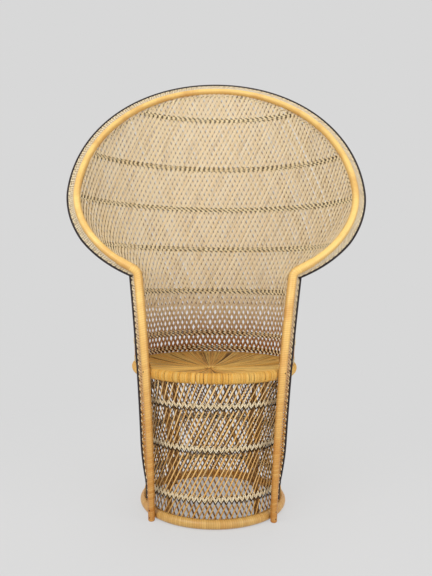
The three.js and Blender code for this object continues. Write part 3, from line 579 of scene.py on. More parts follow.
class Piece:
    """One mesh of the chair, to which poles, rods and strands are added as bent tubes."""

    def __init__(self, name):
        self.name = name
        self.mesh = bmesh.new()
        layers = self.mesh.verts.layers.float
        self.layers = {key: layers.new(key) for key in ("tone", "along", "stain_and_shade", "groove", "edge")}

    def sweep(self, stations, sides, values, closed=False):
        """Bends a tube along the stations. values gives each ring's marks."""
        start = len(self.mesh.verts)
        self.mesh.from_mesh(straight_tube(sides, len(stations), closed))
        self.mesh.verts.ensure_lookup_table()
        marks = [values(number) for number in range(len(stations))]
        for point in self.mesh.verts[start:]:
            number = round(point.co.z)
            point.co = stations[number] @ Vector((point.co.x, point.co.y, 0))
            for key, value in marks[number].items():
                point[self.layers[key]] = value

    def shell(self, stations, sides):
        """A tube through the stations, open at its last and lowest one."""
        self.sweep(stations, sides, lambda number: {})
        last = max(self.mesh.faces, key=lambda face: (len(face.verts), -face.calc_center_median().z))
        bmesh.ops.delete(self.mesh, geom=[last], context="FACES_ONLY")

    def finish(self, material, slot, *nodes):
        """Makes the object, which rides on the chair and stands for the frame's nodes that it covers."""
        bmesh.ops.recalc_face_normals(self.mesh, faces=self.mesh.faces)
        for face in self.mesh.faces:
            face.smooth = True
        data = bpy.data.meshes.new(self.name)
        self.mesh.to_mesh(data)
        self.mesh.free()
        data.materials.append(material)
        thing = bpy.data.objects.new(self.name, data)
        bpy.context.scene.collection.objects.link(thing)
        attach(thing, "root")
        if nodes:
            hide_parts(*nodes)
        return thing


def station(centre, along, reference, across_size, through_size, slant=0):
    """Matrix that puts a unit circle square to a line, with its first axis nearest the reference."""
    across = (reference - along * reference.dot(along)).normalized()
    through = along.cross(across)
    columns = (across * across_size, (through + along * slant) * through_size, along)
    return Matrix.Translation(centre) @ Matrix(columns).transposed().to_4x4()


def tangents(points, closed=False):
    last = len(points) - 1
    if closed:
        return [(points[(i + 1) % len(points)] - points[i - 1]).normalized() for i in range(len(points))]
    return [(points[min(i + 1, last)] - points[max(i - 1, 0)]).normalized() for i in range(len(points))]


def lengths_along(points):
    """The length of a line from its start to each of its points."""
    lengths = [0.0]
    for before, after in zip(points, points[1:]):
        lengths.append(lengths[-1] + (after - before).length)
    return lengths


def length_of(points, closed=False):
    return lengths_along(points)[-1] + ((points[0] - points[-1]).length if closed else 0)


def evenly(points, count, closed=False):
    """count points at even distances along a line of points, with the whole length."""
    line = points + [points[0]] if closed else points
    lengths = lengths_along(line)
    total = lengths[-1]
    places = []
    lower = 0
    for number in range(count):
        distance = total * number / (count if closed else count - 1)
        while lower < len(line) - 2 and lengths[lower + 1] < distance:
            lower += 1
        share = (distance - lengths[lower]) / max(lengths[lower + 1] - lengths[lower], TINY)
        places.append(line[lower].lerp(line[lower + 1], min(share, 1)))
    return places, total


def around(line, height):
    """The points of a rising line below and above a height, and the share of the way between them."""
    upper = next((number for number, point in enumerate(line) if point.z >= height), len(line) - 1)
    lower = max(upper - 1, 0)
    share = (height - line[lower].z) / max(line[upper].z - line[lower].z, TINY)
    return line[lower], line[upper], share


def tree_of(points):
    """A tree that finds the nearest of the points."""
    tree = KDTree(len(points))
    for number, point in enumerate(points):
        tree.insert(point, number)
    tree.balance()
    return tree


def circle(steps):
    """The ways out from an upright axis, evenly all round."""
    turns = (math.tau * step / steps for step in range(steps))
    return [Vector((math.cos(turn), math.sin(turn), 0)) for turn in turns]


def wind_pole(piece, points, radius_at, reference, closed=False, sides=POLE_SIDES, peel=PEEL_WIDTH):
    """A pole wound with peel: every turn swells between two grooves and leans a little."""
    parts = len(PEEL_SWELL_SHARES)
    turns = round(length_of(points, closed) / peel)
    count = turns * parts + (0 if closed else 1)
    places, total = evenly(points, count, closed)
    tones = [draw.random() for _ in range(turns + 1)]
    stations = []
    for number, (place, along) in enumerate(zip(places, tangents(places, closed))):
        radius = radius_at(place) + PEEL_GROOVE * PEEL_SWELL_SHARES[number % parts]
        turns_from_end = SLANT_TURNS if closed else min(number, count - 1 - number) / parts
        slant = PEEL_SLANT * min(turns_from_end / SLANT_TURNS, 1)
        stations.append(station(place, along, reference, radius, radius, slant))
    piece.sweep(stations, sides, lambda number: {
        "tone": tones[number // parts], "along": total * number / count,
        "groove": 1.0 if number % parts == 0 else 0.0}, closed)


def lay_rod(piece, places, width, depth, sides=ROD_SIDES, stain_and_shade=0):
    """A rod through places, each a point and the direction that its flat side faces."""
    points = [point for point, _ in places]
    tone = draw.random()
    stations = [station(point, along, outward, depth / 2, width / 2)
                for (point, outward), along in zip(places, tangents(points))]
    lengths = lengths_along(points)
    start = draw.random() * PATTERN_SPREAD
    piece.sweep(stations, sides, lambda number: {
        "tone": tone, "along": start + lengths[number], "stain_and_shade": stain_and_shade})


def twine(piece, line, stitch, depth, rise, radii, stains, phase=0, closed=False):
    """A row of two strands that twist about a line. line gives points with the ways out and up there."""
    points = [point for point, _, _ in line]
    stitches = max(2 * round(length_of(points, closed) / stitch / 2), 2)
    count = stitches * STITCH_PARTS + (0 if closed else 1)
    places, total = evenly(points, count, closed)
    nearest = tree_of(points)
    for strand, (stain_and_shade, radius) in enumerate(zip(stains, radii)):
        tone = draw.random()
        winding = []
        for number, place in enumerate(places):
            _, out, up = line[nearest.find(place)[1]]
            turn = math.pi * (number / STITCH_PARTS + strand + phase)
            winding.append((place + out * (depth * math.cos(turn)) + up * (rise * math.sin(turn)), out))
        ways = tangents([place for place, _ in winding], closed)
        stations = [station(place, along, out, radius * STRAND_FLATNESS, radius)
                    for (place, out), along in zip(winding, ways)]
        piece.sweep(stations, STRAND_SIDES, lambda number: {
            "tone": tone * OWN_TONE_SHARE + TURN_TONE_SHARE * draw.random(),
            "along": total * number / count, "stain_and_shade": stain_and_shade}, closed)


def spot(x, y, z):
    """A point given about the drum's upright axis."""
    return Vector((x, y + AXIS_Y, z))


def between(share, first, middle, last):
    """A value on a curve that leaves the first one towards the middle one and ends at the last."""
    rest = 1 - share
    return rest * rest * first + 2 * rest * share * middle + share * share * last


def hoop_depth(height):
    share = (height - SHOULDER_HEIGHT) / (HOOP_TOP - SHOULDER_HEIGHT)
    return between(share, *HOOP_DEPTHS)


HOOP_RISE = HOOP_TOP - HOOP_WIDEST
HOOP_DROP = (HOOP_WIDEST - SHOULDER_HEIGHT) / math.sqrt(1 - (SHOULDER_HALF_WIDTH / HOOP_HALF_WIDTH) ** 2)
SHOULDER_TURN = math.acos((SHOULDER_HEIGHT - HOOP_WIDEST) / HOOP_DROP)


def hoop_reach(turn):
    return HOOP_RISE if math.cos(turn) > 0 else HOOP_DROP


def hoop_point(turn):
    """A point of the hoop's centre line, by its turn from the top."""
    height = HOOP_WIDEST + hoop_reach(turn) * math.cos(turn)
    return spot(HOOP_HALF_WIDTH * math.sin(turn), hoop_depth(height), height)


def hoop_along(turn):
    return (hoop_point(turn + TURN_STEP) - hoop_point(turn - TURN_STEP)).normalized()


def turn_before(turn, length):
    """The turn of the hoop that lies a length before another."""
    near, far = 0, turn
    start = hoop_point(turn)
    for _ in range(TURN_HALVINGS):
        middle = (near + far) / 2
        if (start - hoop_point(turn - middle)).length < length:
            near = middle
        else:
            far = middle
    return turn - near


JOINT_TURN = turn_before(SHOULDER_TURN, SHOULDER_REACH)


def upright_tube(height):
    share = min(height / SHOULDER_HEIGHT, 1)
    return UPRIGHT_FOOT_TUBE + (HOOP_TUBE - UPRIGHT_FOOT_TUBE) * share


def on_circle(radius, angle, side, height):
    """A point on the front of a circle about the drum's axis, by its angle from one side."""
    return spot(side * radius * math.cos(angle), -radius * math.sin(angle), height)


def upright_stem(side):
    """Centre line of an upright below its bend, a curve through its foot, the seat and the bend."""
    base_reach = BASE_RADIUS + BASE_TUBE + UPRIGHT_FOOT_TUBE + POLE_GAP
    seat_reach = SEAT_RIM + upright_tube(SEAT_RING_HEIGHT) + POLE_GAP / 2
    touch = on_circle(base_reach, FOOT_ANGLE, side, TOUCH_HEIGHT)
    seat = on_circle(seat_reach, SEAT_ANGLE, side, SEAT_RING_HEIGHT)
    foot = touch.lerp(seat, -TOUCH_HEIGHT / (SEAT_RING_HEIGHT - TOUCH_HEIGHT))
    shoulder = hoop_point(side * SHOULDER_TURN)
    below = shoulder - UP * BEND_DROP
    points = []
    for step in range(STEM_STEPS + 1):
        height = foot.z + (below.z - foot.z) * step / STEM_STEPS
        first = (height - seat.z) * (height - below.z) / ((foot.z - seat.z) * (foot.z - below.z))
        middle = (height - foot.z) * (height - below.z) / ((seat.z - foot.z) * (seat.z - below.z))
        last = (height - foot.z) * (height - seat.z) / ((below.z - foot.z) * (below.z - seat.z))
        points.append(foot * first + seat * middle + below * last)
    return points


def upright_bend(side):
    """Centre line of the bend that brings an upright into the hoop."""
    stem = upright_stem(side)
    start, end = stem[-1], hoop_point(side * JOINT_TURN)
    reach = (end - start).length / 2
    handle = start + (stem[-1] - stem[-2]).normalized() * reach
    other = end + hoop_along(side * JOINT_TURN) * side * reach
    points = []
    for step in range(1, BEND_STEPS + 1):
        share = step / BEND_STEPS
        rest = 1 - share
        points.append(start * rest ** 3 + handle * 3 * rest * rest * share
                      + other * 3 * rest * share * share + end * share ** 3)
    return points


HOOP_LINE = [hoop_point(JOINT_TURN * (step / HOOP_HALF_STEPS - 1))
             for step in range(2 * HOOP_HALF_STEPS + 1)]
HOOP_SLOPE = Vector((0, HOOP_TOP - SHOULDER_HEIGHT, HOOP_DEPTHS[0] - HOOP_DEPTHS[2])).normalized()
STEMS = {side: upright_stem(side) for side in (-1, 1)}
BENDS = {side: upright_bend(side) for side in (-1, 1)}
POLES = tree_of(HOOP_LINE + [point for side in (-1, 1) for point in STEMS[side] + BENDS[side]])


def build_poles():
    """Base ring, hoop, uprights and shoulder wraps, wound with peel."""
    piece = Piece("base_ring_wound")
    ring = [spot(BASE_RADIUS * math.cos(turn), BASE_RADIUS * math.sin(turn), BASE_TUBE)
            for turn in (math.tau * step / RING_STEPS for step in range(RING_STEPS))]
    wind_pole(piece, ring, lambda _: BASE_TUBE - PEEL_INSET, UP, closed=True, sides=BASE_RING_SIDES)
    piece.finish(BASE_PEEL, "wrapped_cane", "base_ring")
    piece = Piece("fan_hoop_wound")
    wind_pole(piece, HOOP_LINE, lambda _: HOOP_PEEL, HOOP_SLOPE)
    piece.finish(WOUND_PEEL, "wrapped_cane", "fan_hoop")
    for name, side in SIDES:
        piece = Piece(f"{name}_upright_wound")
        line = STEMS[side] + BENDS[side]
        line[0] = line[0].lerp(line[1], FOOT_TRIM / line[1].z)
        wind_pole(piece, line, lambda place: upright_tube(place.z), FORWARD)
        piece.finish(WOUND_PEEL, "wrapped_cane", f"{name}_upright")
        piece = Piece(f"{name}_shoulder_wrap")
        start, end = side * turn_before(JOINT_TURN, BINDING_LENGTH), side * JOINT_TURN
        line = [hoop_point(start + (end - start) * step / BINDING_STEPS)
                for step in range(BINDING_STEPS + 1)]
        wind_pole(piece, line, lambda _: HOOP_TUBE - PEEL_INSET, HOOP_SLOPE, peel=BINDING_PEEL_WIDTH)
        piece.finish(WOUND_PEEL, "wrapped_cane", f"{name}_shoulder_binding")


def build_nails():
    """Domed nails that hold each upright to the base ring and to the seat."""
    columns, rows = NAIL_FACETS
    flat = Matrix.Diagonal((NAIL_RADIUS, NAIL_RADIUS, NAIL_RADIUS * NAIL_DOME_SHARE, 1))
    for name, side in SIDES:
        piece = Piece(f"{name}_nails")
        for height in NAIL_HEIGHTS:
            _, centre, _ = around(STEMS[side], height)
            aside = Vector((centre.x, centre.y - AXIS_Y, 0)).normalized()
            out = (aside + FORWARD * NAIL_FRONT_SHARE).normalized()
            turned = out.to_track_quat("Z", "Y").to_matrix().to_4x4()
            place = Matrix.Translation(centre + out * upright_tube(height)) @ turned @ flat
            bmesh.ops.create_uvsphere(piece.mesh, u_segments=columns, v_segments=rows, radius=1,
                                      matrix=place)
        piece.finish(NAIL_STEEL, "wrapped_cane")


def drum_point(angle_middle, lean, share, offset):
    """A point on a straight rod of the drum, and the way out of the wall there."""
    def end(part, radius, height):
        angle = angle_middle + lean * part * DRUM_SWEEP
        return spot(radius * math.cos(angle), radius * math.sin(angle), height)
    foot = end(-0.5, BASE_RADIUS, DRUM_FOOT)
    head = end(0.5, SEAT_RING_RADIUS, DRUM_HEAD)
    point = foot.lerp(head, share)
    out = Vector((point.x, point.y - AXIS_Y, 0)).normalized()
    return point + out * offset, out


def drum_radius(height):
    share = (height - DRUM_FOOT) / (DRUM_HEAD - DRUM_FOOT)
    point, _ = drum_point(0, 1, share, 0)
    return math.hypot(point.x, point.y - AXIS_Y)


def build_drum_rods():
    """Two layers of straight rods, outer ones leaning one way and inner ones, browner by stain and painted
    shade, the other.
    """
    piece = Piece("drum_rods_woven")
    for lean, offset in ((1, LAYER_OFFSET), (-1, -LAYER_OFFSET)):
        for number in range(DRUM_RODS):
            stray = draw.uniform(-DRUM_ROD_STRAY, DRUM_ROD_STRAY)
            middle = math.tau * (number + stray) / DRUM_RODS
            bow = draw.uniform(-1, 1) * DRUM_ROD_BOW
            width = DRUM_ROD_WIDTH * draw.uniform(*DRUM_WIDTH_RANGE)
            places = []
            for step in range(DRUM_ROD_STEPS + 1):
                share = step / DRUM_ROD_STEPS
                places.append(drum_point(middle + bow * math.sin(math.pi * share), lean, share, offset))
            # The inner layer's brown is partly stain and partly painted shade
            stain_and_shade = 0 if offset > 0 else draw.uniform(*INNER_STAIN_AND_SHADE_RANGE)
            lay_rod(piece, places, width, DRUM_ROD_DEPTH, stain_and_shade=stain_and_shade)
    piece.finish(DRUM_CANE, "drum_rod", "drum_rods")


def zigzag(piece, height, lift, radius, stain_and_shade):
    """A strand that climbs and falls once for every rod, over the outside of the drum."""
    parts = len(CHEVRON_LIFT_SHARES)
    count = DRUM_RODS * parts
    places = []
    for number in range(count):
        turn = math.tau * number / parts / DRUM_RODS
        share = CHEVRON_LIFT_SHARES[number % parts]
        level = height + lift + CHEVRON_RISE * (share - 0.5)
        dip = (1 - math.sin(math.pi * share)) * CHEVRON_DIP
        reach = drum_radius(level) + (ROD_REACH + CHEVRON_OUT) - dip
        place = spot(reach * math.cos(turn), reach * math.sin(turn), level)
        places.append((place, Vector((math.cos(turn), math.sin(turn), 0))))
    ways = tangents([place for place, _ in places], closed=True)
    sizes = [radius * (1 if number % parts else 1 + CHEVRON_STAIN_SWELL * stain_and_shade)
             for number in range(count)]
    stations = [station(place, along, out, size * STRAND_FLATNESS, size)
                for (place, out), along, size in zip(places, ways, sizes)]
    piece.sweep(stations, STRAND_SIDES, lambda number: {
        "tone": draw.random(), "along": number * CHEVRON_PATTERN_STEP, "stain_and_shade": stain_and_shade}, closed=True)


def build_drum_bands():
    """Outside, two natural zigzags over a stained one. Inside, two rows of beads."""
    for name in ("low", "middle", "high"):
        low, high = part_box(f"drum_band_{name}_outer")
        height = (low.z + high.z) / 2 - DRUM_BAND_DROP
        piece = Piece(f"drum_band_{name}_chevrons")
        for lift, radius, stain_and_shade in CHEVRONS:
            zigzag(piece, height, lift, radius, stain_and_shade)
        piece.finish(DRUM_TWINE, "twine", f"drum_band_{name}_outer")
        piece = Piece(f"drum_band_{name}_beads")
        for lift, phase in BEAD_ROWS:
            level = height + lift
            reach = drum_radius(level) - ROD_REACH - BEADS_IN
            line = [(spot(out.x * reach, out.y * reach, level), out, UP)
                    for out in circle(DRUM_RODS * 2)]
            twine(piece, line, math.tau * reach / DRUM_RODS, **BEAD_TWINING, phase=phase, closed=True)
        piece.finish(DRUM_TWINE, "twine", f"drum_band_{name}_inner")


def stem_section(height):
    """Radius, centre, front radius and edge angle of the back between the seat and the shoulders."""
    share = (height - SEAT_HEIGHT) / (SHOULDER_HEIGHT - SEAT_HEIGHT)
    radius = SEAT_RING_RADIUS + (STEM_TOP_HALF_WIDTH - SEAT_RING_RADIUS) * share
    centre = (STEM_TOP_DEPTH - STEM_TOP_HALF_WIDTH) * share
    below, above, part = around(STEMS[1] + [hoop_point(SHOULDER_TURN)], height)
    pole = below.lerp(above, min(max(part, 0), 1))
    flat = math.hypot(pole.x, pole.y - AXIS_Y)
    inner = flat - upright_tube(height) - ROD_REACH
    edge_x = pole.x / flat * inner
    edge_y = (pole.y - AXIS_Y) / flat * inner
    edge = math.pi - math.asin(min(edge_x / radius, 1))
    return radius, centre, (edge_y - centre) / math.cos(edge), edge


def fan_section(height):
    """The same four values of the back above the shoulders, where it is one arc."""
    level = min(height, HOOP_TOP - HOOP_TOP_GAP)
    share = (level - SHOULDER_HEIGHT) / (HOOP_TOP - SHOULDER_HEIGHT)
    depth = between(share, STEM_TOP_DEPTH, FAN_BELLY_DEPTH, HOOP_DEPTHS[2])
    reach = HOOP_RISE if level > HOOP_WIDEST else HOOP_DROP
    width = HOOP_HALF_WIDTH * math.sqrt(max(1 - ((level - HOOP_WIDEST) / reach) ** 2, 0))
    sagitta = depth - hoop_depth(level)
    radius = (width * width + sagitta * sagitta) / (2 * sagitta)
    return radius, depth - radius, radius, math.atan2(width, radius - sagitta)


section_count = math.ceil((HOOP_TOP - SEAT_HEIGHT) / SECTION_STEP) + 2
section_heights = [SEAT_HEIGHT + SECTION_STEP * number for number in range(section_count)]
SECTIONS = [fan_section(height) if height > SHOULDER_HEIGHT else stem_section(height)
            for height in section_heights]


def back_section(height):
    """The four values of the back at any height, between the nearest two sections."""
    place = min(max((height - SEAT_HEIGHT) / SECTION_STEP, 0), len(SECTIONS) - 1.001)
    lower = int(place)
    share = place - lower
    return [first + (second - first) * share for first, second in zip(SECTIONS[lower], SECTIONS[lower + 1])]


def edge_arc(height):
    radius, _, _, edge = back_section(height)
    return radius * edge


def back_surface(arc, height):
    """A point of the back, by the distance round from its middle and the height."""
    radius, centre, front, _ = back_section(height)
    turn = arc / radius
    reach = front if abs(turn) > math.pi / 2 else radius
    return spot(radius * math.sin(turn), centre + reach * math.cos(turn), height)


def back_place(arc, height, offset=0):
    """A point of the back, the way out of it away from the sitter, and the way up along it."""
    step = SURFACE_STEP
    point = back_surface(arc, height)
    sideways = back_surface(arc + step, height) - back_surface(arc - step, height)
    up = (back_surface(arc, height + step) - back_surface(arc, height - step)).normalized()
    out = up.cross(sideways).normalized()
    return point + out * offset, out, up


def is_inside(arc, height, clearance):
    """Whether a point of the back lies within its edges and clear of the poles' centre lines."""
    if abs(arc) >= edge_arc(height):
        return False
    return POLES.find(back_surface(arc, height))[2] > clearance


def halved(inside, outside, test):
    """The last value from inside towards outside that still passes the test, found by halving."""
    for _ in range(EDGE_HALVINGS):
        middle = (inside + outside) / 2
        if test(middle):
            inside = middle
        else:
            outside = middle
    return inside


# Foot of the back's rods, how near the poles they end, and how far up the seat draws each pair together.
# A rod is given by its place in the pair, its width and its foot.
BACK_FOOT = SEAT_HEIGHT + 0.5 * MM
ROD_END_CLEARANCE = HOOP_TUBE - 3 * MM
FILLING_FOOT = 612 * MM
PAIR_CLOSING = 0.35
PAIR_CLOSING_HEIGHT = 200 * MM
BACK_PAIR = ((-2.45 * MM, 4.5 * MM, BACK_FOOT), (2.45 * MM, 4.5 * MM, BACK_FOOT))
# The filling rod's brown is painted shade, for the dark gaps of the fan
FILLING_ROD = (7 * MM, 3.8 * MM, FILLING_FOOT)


def build_back_rods():
    """Two crossed layers of paired rods, from the seat and the poles up into the hoop. In the rear layer a
    brown rod fills the space between pairs; its brown is painted shade in the fan's gaps."""
    widest = max(edge_arc(height) for height in section_heights)
    span = HOOP_TOP - BACK_FOOT
    reach = math.ceil((widest + span * BACK_ROD_LEAN) / BACK_ROD_PITCH)
    levels = [BACK_FOOT + BACK_ROD_PACE * step for step in range(int(span / BACK_ROD_PACE) + 1)]
    piece = Piece("back_rods_woven")
    filling = Piece("fan_filling_rods")
    for lean, side in ((1, -1), (-1, 1)):
        for number in range(-reach, reach + 1):
            stray = draw.uniform(-BACK_ROD_STRAY, BACK_ROD_STRAY)
            start = (number + 0.5 + stray) * BACK_ROD_PITCH
            bow = draw.uniform(-1, 1) * BACK_ROD_BOW
            wave = draw.uniform(*BACK_WAVE_RANGE)
            for aside, rod_width, foot in BACK_PAIR if side < 0 else (*BACK_PAIR, FILLING_ROD):
                def rod_at(height):
                    rise = height - SEAT_HEIGHT
                    bent = bow * math.sin(wave * math.pi * rise / span)
                    spread = 1 - PAIR_CLOSING * max(1 - rise / PAIR_CLOSING_HEIGHT, 0)
                    middle = start + lean * BACK_ROD_LEAN * rise + bent
                    return middle + aside * spread * math.hypot(1, BACK_ROD_LEAN)

                def test(height):
                    return height >= foot and is_inside(rod_at(height), height, ROD_END_CLEARANCE)

                heights = [level for level in levels if test(level)]
                if len(heights) < 2:
                    continue
                low, high = heights[0], heights[-1]
                if low > BACK_FOOT:
                    low = halved(low, low - BACK_ROD_PACE, test)
                high = halved(high, high + BACK_ROD_PACE, test)
                inner = [height for height in heights
                         if low + ROD_END_ROOM < height < high - ROD_END_ROOM]
                width = rod_width * draw.uniform(*BACK_WIDTH_RANGE)
                places = [back_place(rod_at(height), height, side * LAYER_OFFSET)[:2]
                          for height in [low, *inner[::2], high]]
                if foot > BACK_FOOT:
                    # Painted shade: the filling rods are darkened brown
                    stain_and_shade = draw.uniform(*FILLING_SHADE_RANGE)
                    lay_rod(filling, places, width, BACK_ROD_DEPTH, stain_and_shade=stain_and_shade)
                else:
                    lay_rod(piece, places, width, BACK_ROD_DEPTH)
    piece.finish(BACK_CANE, "back_rod", "back_rods")
    filling.finish(BACK_CANE, "back_rod")


def back_line(height):
    """A level line across the back between the poles."""
    edge = halved(0, edge_arc(height), lambda arc: is_inside(arc, height, ROW_END_CLEARANCE))
    count = max(int(2 * edge / ROW_STEP), 4)
    return [back_place(edge * (2 * step / count - 1), height) for step in range(count + 1)]


def build_back_bands():
    """Rows of two strands that twist round every rod, one stained and one natural."""
    for name in BACK_BANDS:
        low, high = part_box(f"back_band_{name}_front")
        height = (low.z + high.z) / 2 - (SEAT_BAND_DROP if name == "seat" else 0)
        piece = Piece(f"back_band_{name}_twined")
        for row in range(BACK_BAND_ROWS):
            lift = ((BACK_BAND_ROWS - 1) / 2 - row) * ROW_PITCH
            phase = 0 if row < BACK_BAND_ROWS - 1 else 1
            twine(piece, back_line(height + lift), STITCH, **BACK_TWINING, phase=phase)
        nodes = [f"back_band_{name}_{face}" for face in ("front", "rear")]
        piece.finish(BACK_TWINE, "twine", *nodes)


def build_selvage():
    """A twined row just inside the poles, which ties the rods' ends."""
    def is_clear(arc, height):
        return is_inside(arc, height, SELVAGE_CLEARANCE)

    rise = HOOP_TOP - SELVAGE_TOP_GAP - BACK_FOOT
    heights = [BACK_FOOT + SELVAGE_FOOT_GAP + rise * step / SELVAGE_SIDE_STEPS
               for step in range(SELVAGE_SIDE_STEPS + 1)]
    left, right = ([(halved(0, side * edge_arc(height), lambda arc: is_clear(arc, height)), height)
                    for height in heights] for side in (-1, 1))
    start, end = left[-1][0], right[-1][0]
    across = [start + (end - start) * step / SELVAGE_TOP_STEPS for step in range(1, SELVAGE_TOP_STEPS)]
    top = [(arc, halved(HOOP_WIDEST, HOOP_TOP, lambda height: is_clear(arc, height))) for arc in across]
    places = [back_place(arc, height)[:2] for arc, height in left + top + right[::-1]]
    ways = tangents([point for point, _ in places])
    line = [(point, out, out.cross(way).normalized()) for (point, out), way in zip(places, ways)]
    piece = Piece("back_selvage_twined")
    twine(piece, line, STITCH, **SELVAGE_TWINING)
    piece.finish(BACK_TWINE, "twine")


FAN_FLANGE_TURN = JOINT_TURN + (SHOULDER_TURN - JOINT_TURN) * FAN_FLANGE_RUN_SHARE
SIDE_FLANGE_TOP = SHOULDER_HEIGHT - BEND_DROP + SIDE_FLANGE_TOP_RISE


def square_to(arm, along):
    """An arm turned square to a pole, at its own length."""
    length = arm.length
    return (arm - along * arm.dot(along)).normalized() * length


def fan_arm(share):
    """Centre of the hoop, the arm to its rim, the way along it and its radius, at a share of the run."""
    turn = FAN_FLANGE_TURN * (2 * share - 1)
    out = Vector((math.sin(turn) / HOOP_HALF_WIDTH, 0, math.cos(turn) / hoop_reach(turn))).normalized()
    from_end = min(share, 1 - share) * 2
    size = FLANGE_END_SHARE + (1 - FLANGE_END_SHARE) * min(1, from_end / FLANGE_TAPER_SHARE)
    arm = Vector((out.x * FAN_FLANGE_OUT * size, FAN_FLANGE_BACK * size, out.z * FAN_FLANGE_OUT * size))
    return hoop_point(turn), square_to(arm, hoop_along(turn)), hoop_along(turn), HOOP_PEEL


def side_arm(side, share):
    """The same four values for an upright."""
    height = SIDE_FLANGE_FOOT + (SIDE_FLANGE_TOP - SIDE_FLANGE_FOOT) * share
    below, above, part = around(STEMS[side], height)
    along = (above - below).normalized()
    tube = upright_tube(height)
    rest = max(1 - (height - SIDE_FLANGE_FOOT) / (SIDE_FLANGE_FULL - SIDE_FLANGE_FOOT), 0)
    arm = square_to(Vector((side * SIDE_FLANGE_OUT, SIDE_FLANGE_BACK, 0)), along)
    length = max(arm.length * (1 - rest * rest), tube + 2 * SIDE_RIM_RADIUS + SIDE_RIM_ROOM)
    return below.lerp(above, part), arm.normalized() * length, along, tube


def build_flange(name, arm_at, run, rim_radius, stain_and_shade, nodes):
    """Short rods crossed between a pole and its rim, two rows stitched through them, and the rim's rod."""
    def place(share, reach, lift=0):
        centre, arm, along, tube = arm_at(min(max(share, 0), 1))
        out = arm.normalized()
        through = along.cross(out).normalized()
        is_front = lift * through.dot(FORWARD) > 0
        near = tube - FLANGE_ROD_LAP
        far = arm.length - (FRONT_ROD_END_SHARE if is_front else REAR_ROD_END_SHARE) * rim_radius
        return centre + out * (near + (far - near) * reach) + through * lift, through, out

    count = round(run / FLANGE_ROD_PITCH)
    lean = FLANGE_ROD_LEAN / count
    piece = Piece(f"{name}_flange_woven")
    for way, lift in ((1, FLANGE_LAYER_LIFT), (-1, -FLANGE_LAYER_LIFT)):
        for number in range(count + 1):
            middle = number / count + draw.uniform(-FLANGE_ROD_STRAY, FLANGE_ROD_STRAY) / count
            places = []
            for step in range(FLANGE_ROD_STEPS + 1):
                reach = step / FLANGE_ROD_STEPS
                places.append(place(middle + way * lean * (reach - 0.5), reach, lift)[:2])
            lay_rod(piece, places, FLANGE_ROD_WIDTH, FLANGE_ROD_DEPTH, FLANGE_ROD_SIDES)
    piece.finish(FLANGE_CANE, "back_rod", nodes[0])
    piece = Piece(f"{name}_flange_stitched")
    steps = count * 2
    for reach, stains, radii in ((RIM_ROW_SHARE, (stain_and_shade, 0), RIM_ROW_RADII),
                                 (POLE_ROW_SHARE, POLE_ROW_STAINS, POLE_ROW_RADII)):
        line = [place(step / steps, reach) for step in range(steps + 1)]
        twine(piece, line, STITCH, **STITCH_SWING, radii=radii, stains=stains)
    piece.finish(BACK_TWINE, "twine")
    piece = Piece(f"{name}_rim")
    stations = []
    for step in range(steps + 1):
        centre, arm, along, _ = arm_at(step / steps)
        stations.append(station(centre + arm, along, arm.normalized(), rim_radius, rim_radius))
    piece.sweep(stations, RIM_SIDES, lambda number: {"along": run * number / steps})
    piece.finish(BLACK_STAIN, "black_rod", nodes[1])


def build_flanges():
    """The fan's flange and one beside each upright."""
    build_flange("fan", fan_arm, length_of(HOOP_LINE), FAN_RIM_RADIUS, FAN_STITCH_STAIN,
                 ("fan_flange", "fan_edge"))
    for name, side in SIDES:
        build_flange(name, lambda share, side=side: side_arm(side, share), length_of(STEMS[side]),
                     SIDE_RIM_RADIUS, SIDE_STITCH_STAIN, (f"{name}_flange", f"{name}_edge"))


def seat_point(angle, share, lift=0):
    """A point of the dished seat, from the hub (0) to the rim (1)."""
    hub = spot(HUB_RADIUS * math.cos(angle) - HUB_LEFT, HUB_RADIUS * math.sin(angle) - HUB_FORWARD,
               SEAT_HEIGHT - SEAT_SAG)
    edge = spot(SEAT_RING_RADIUS * math.cos(angle), SEAT_RING_RADIUS * math.sin(angle),
                SEAT_HEIGHT - SEAT_EDGE_DROP)
    point = hub.lerp(edge, share)
    point.z = hub.z + (edge.z - hub.z) * share * share + lift
    return point


def seat_rim_point(angle, turn, reach):
    """A point of the peel on the seat ring. Below the ring's middle it hangs deeper than the ring."""
    radius = SEAT_RING_RADIUS + reach * math.cos(turn)
    fall = reach * math.sin(turn) * (1 if turn > 0 else SEAT_RIM_HANG)
    return spot(radius * math.cos(angle), radius * math.sin(angle), SEAT_RING_HEIGHT + fall)


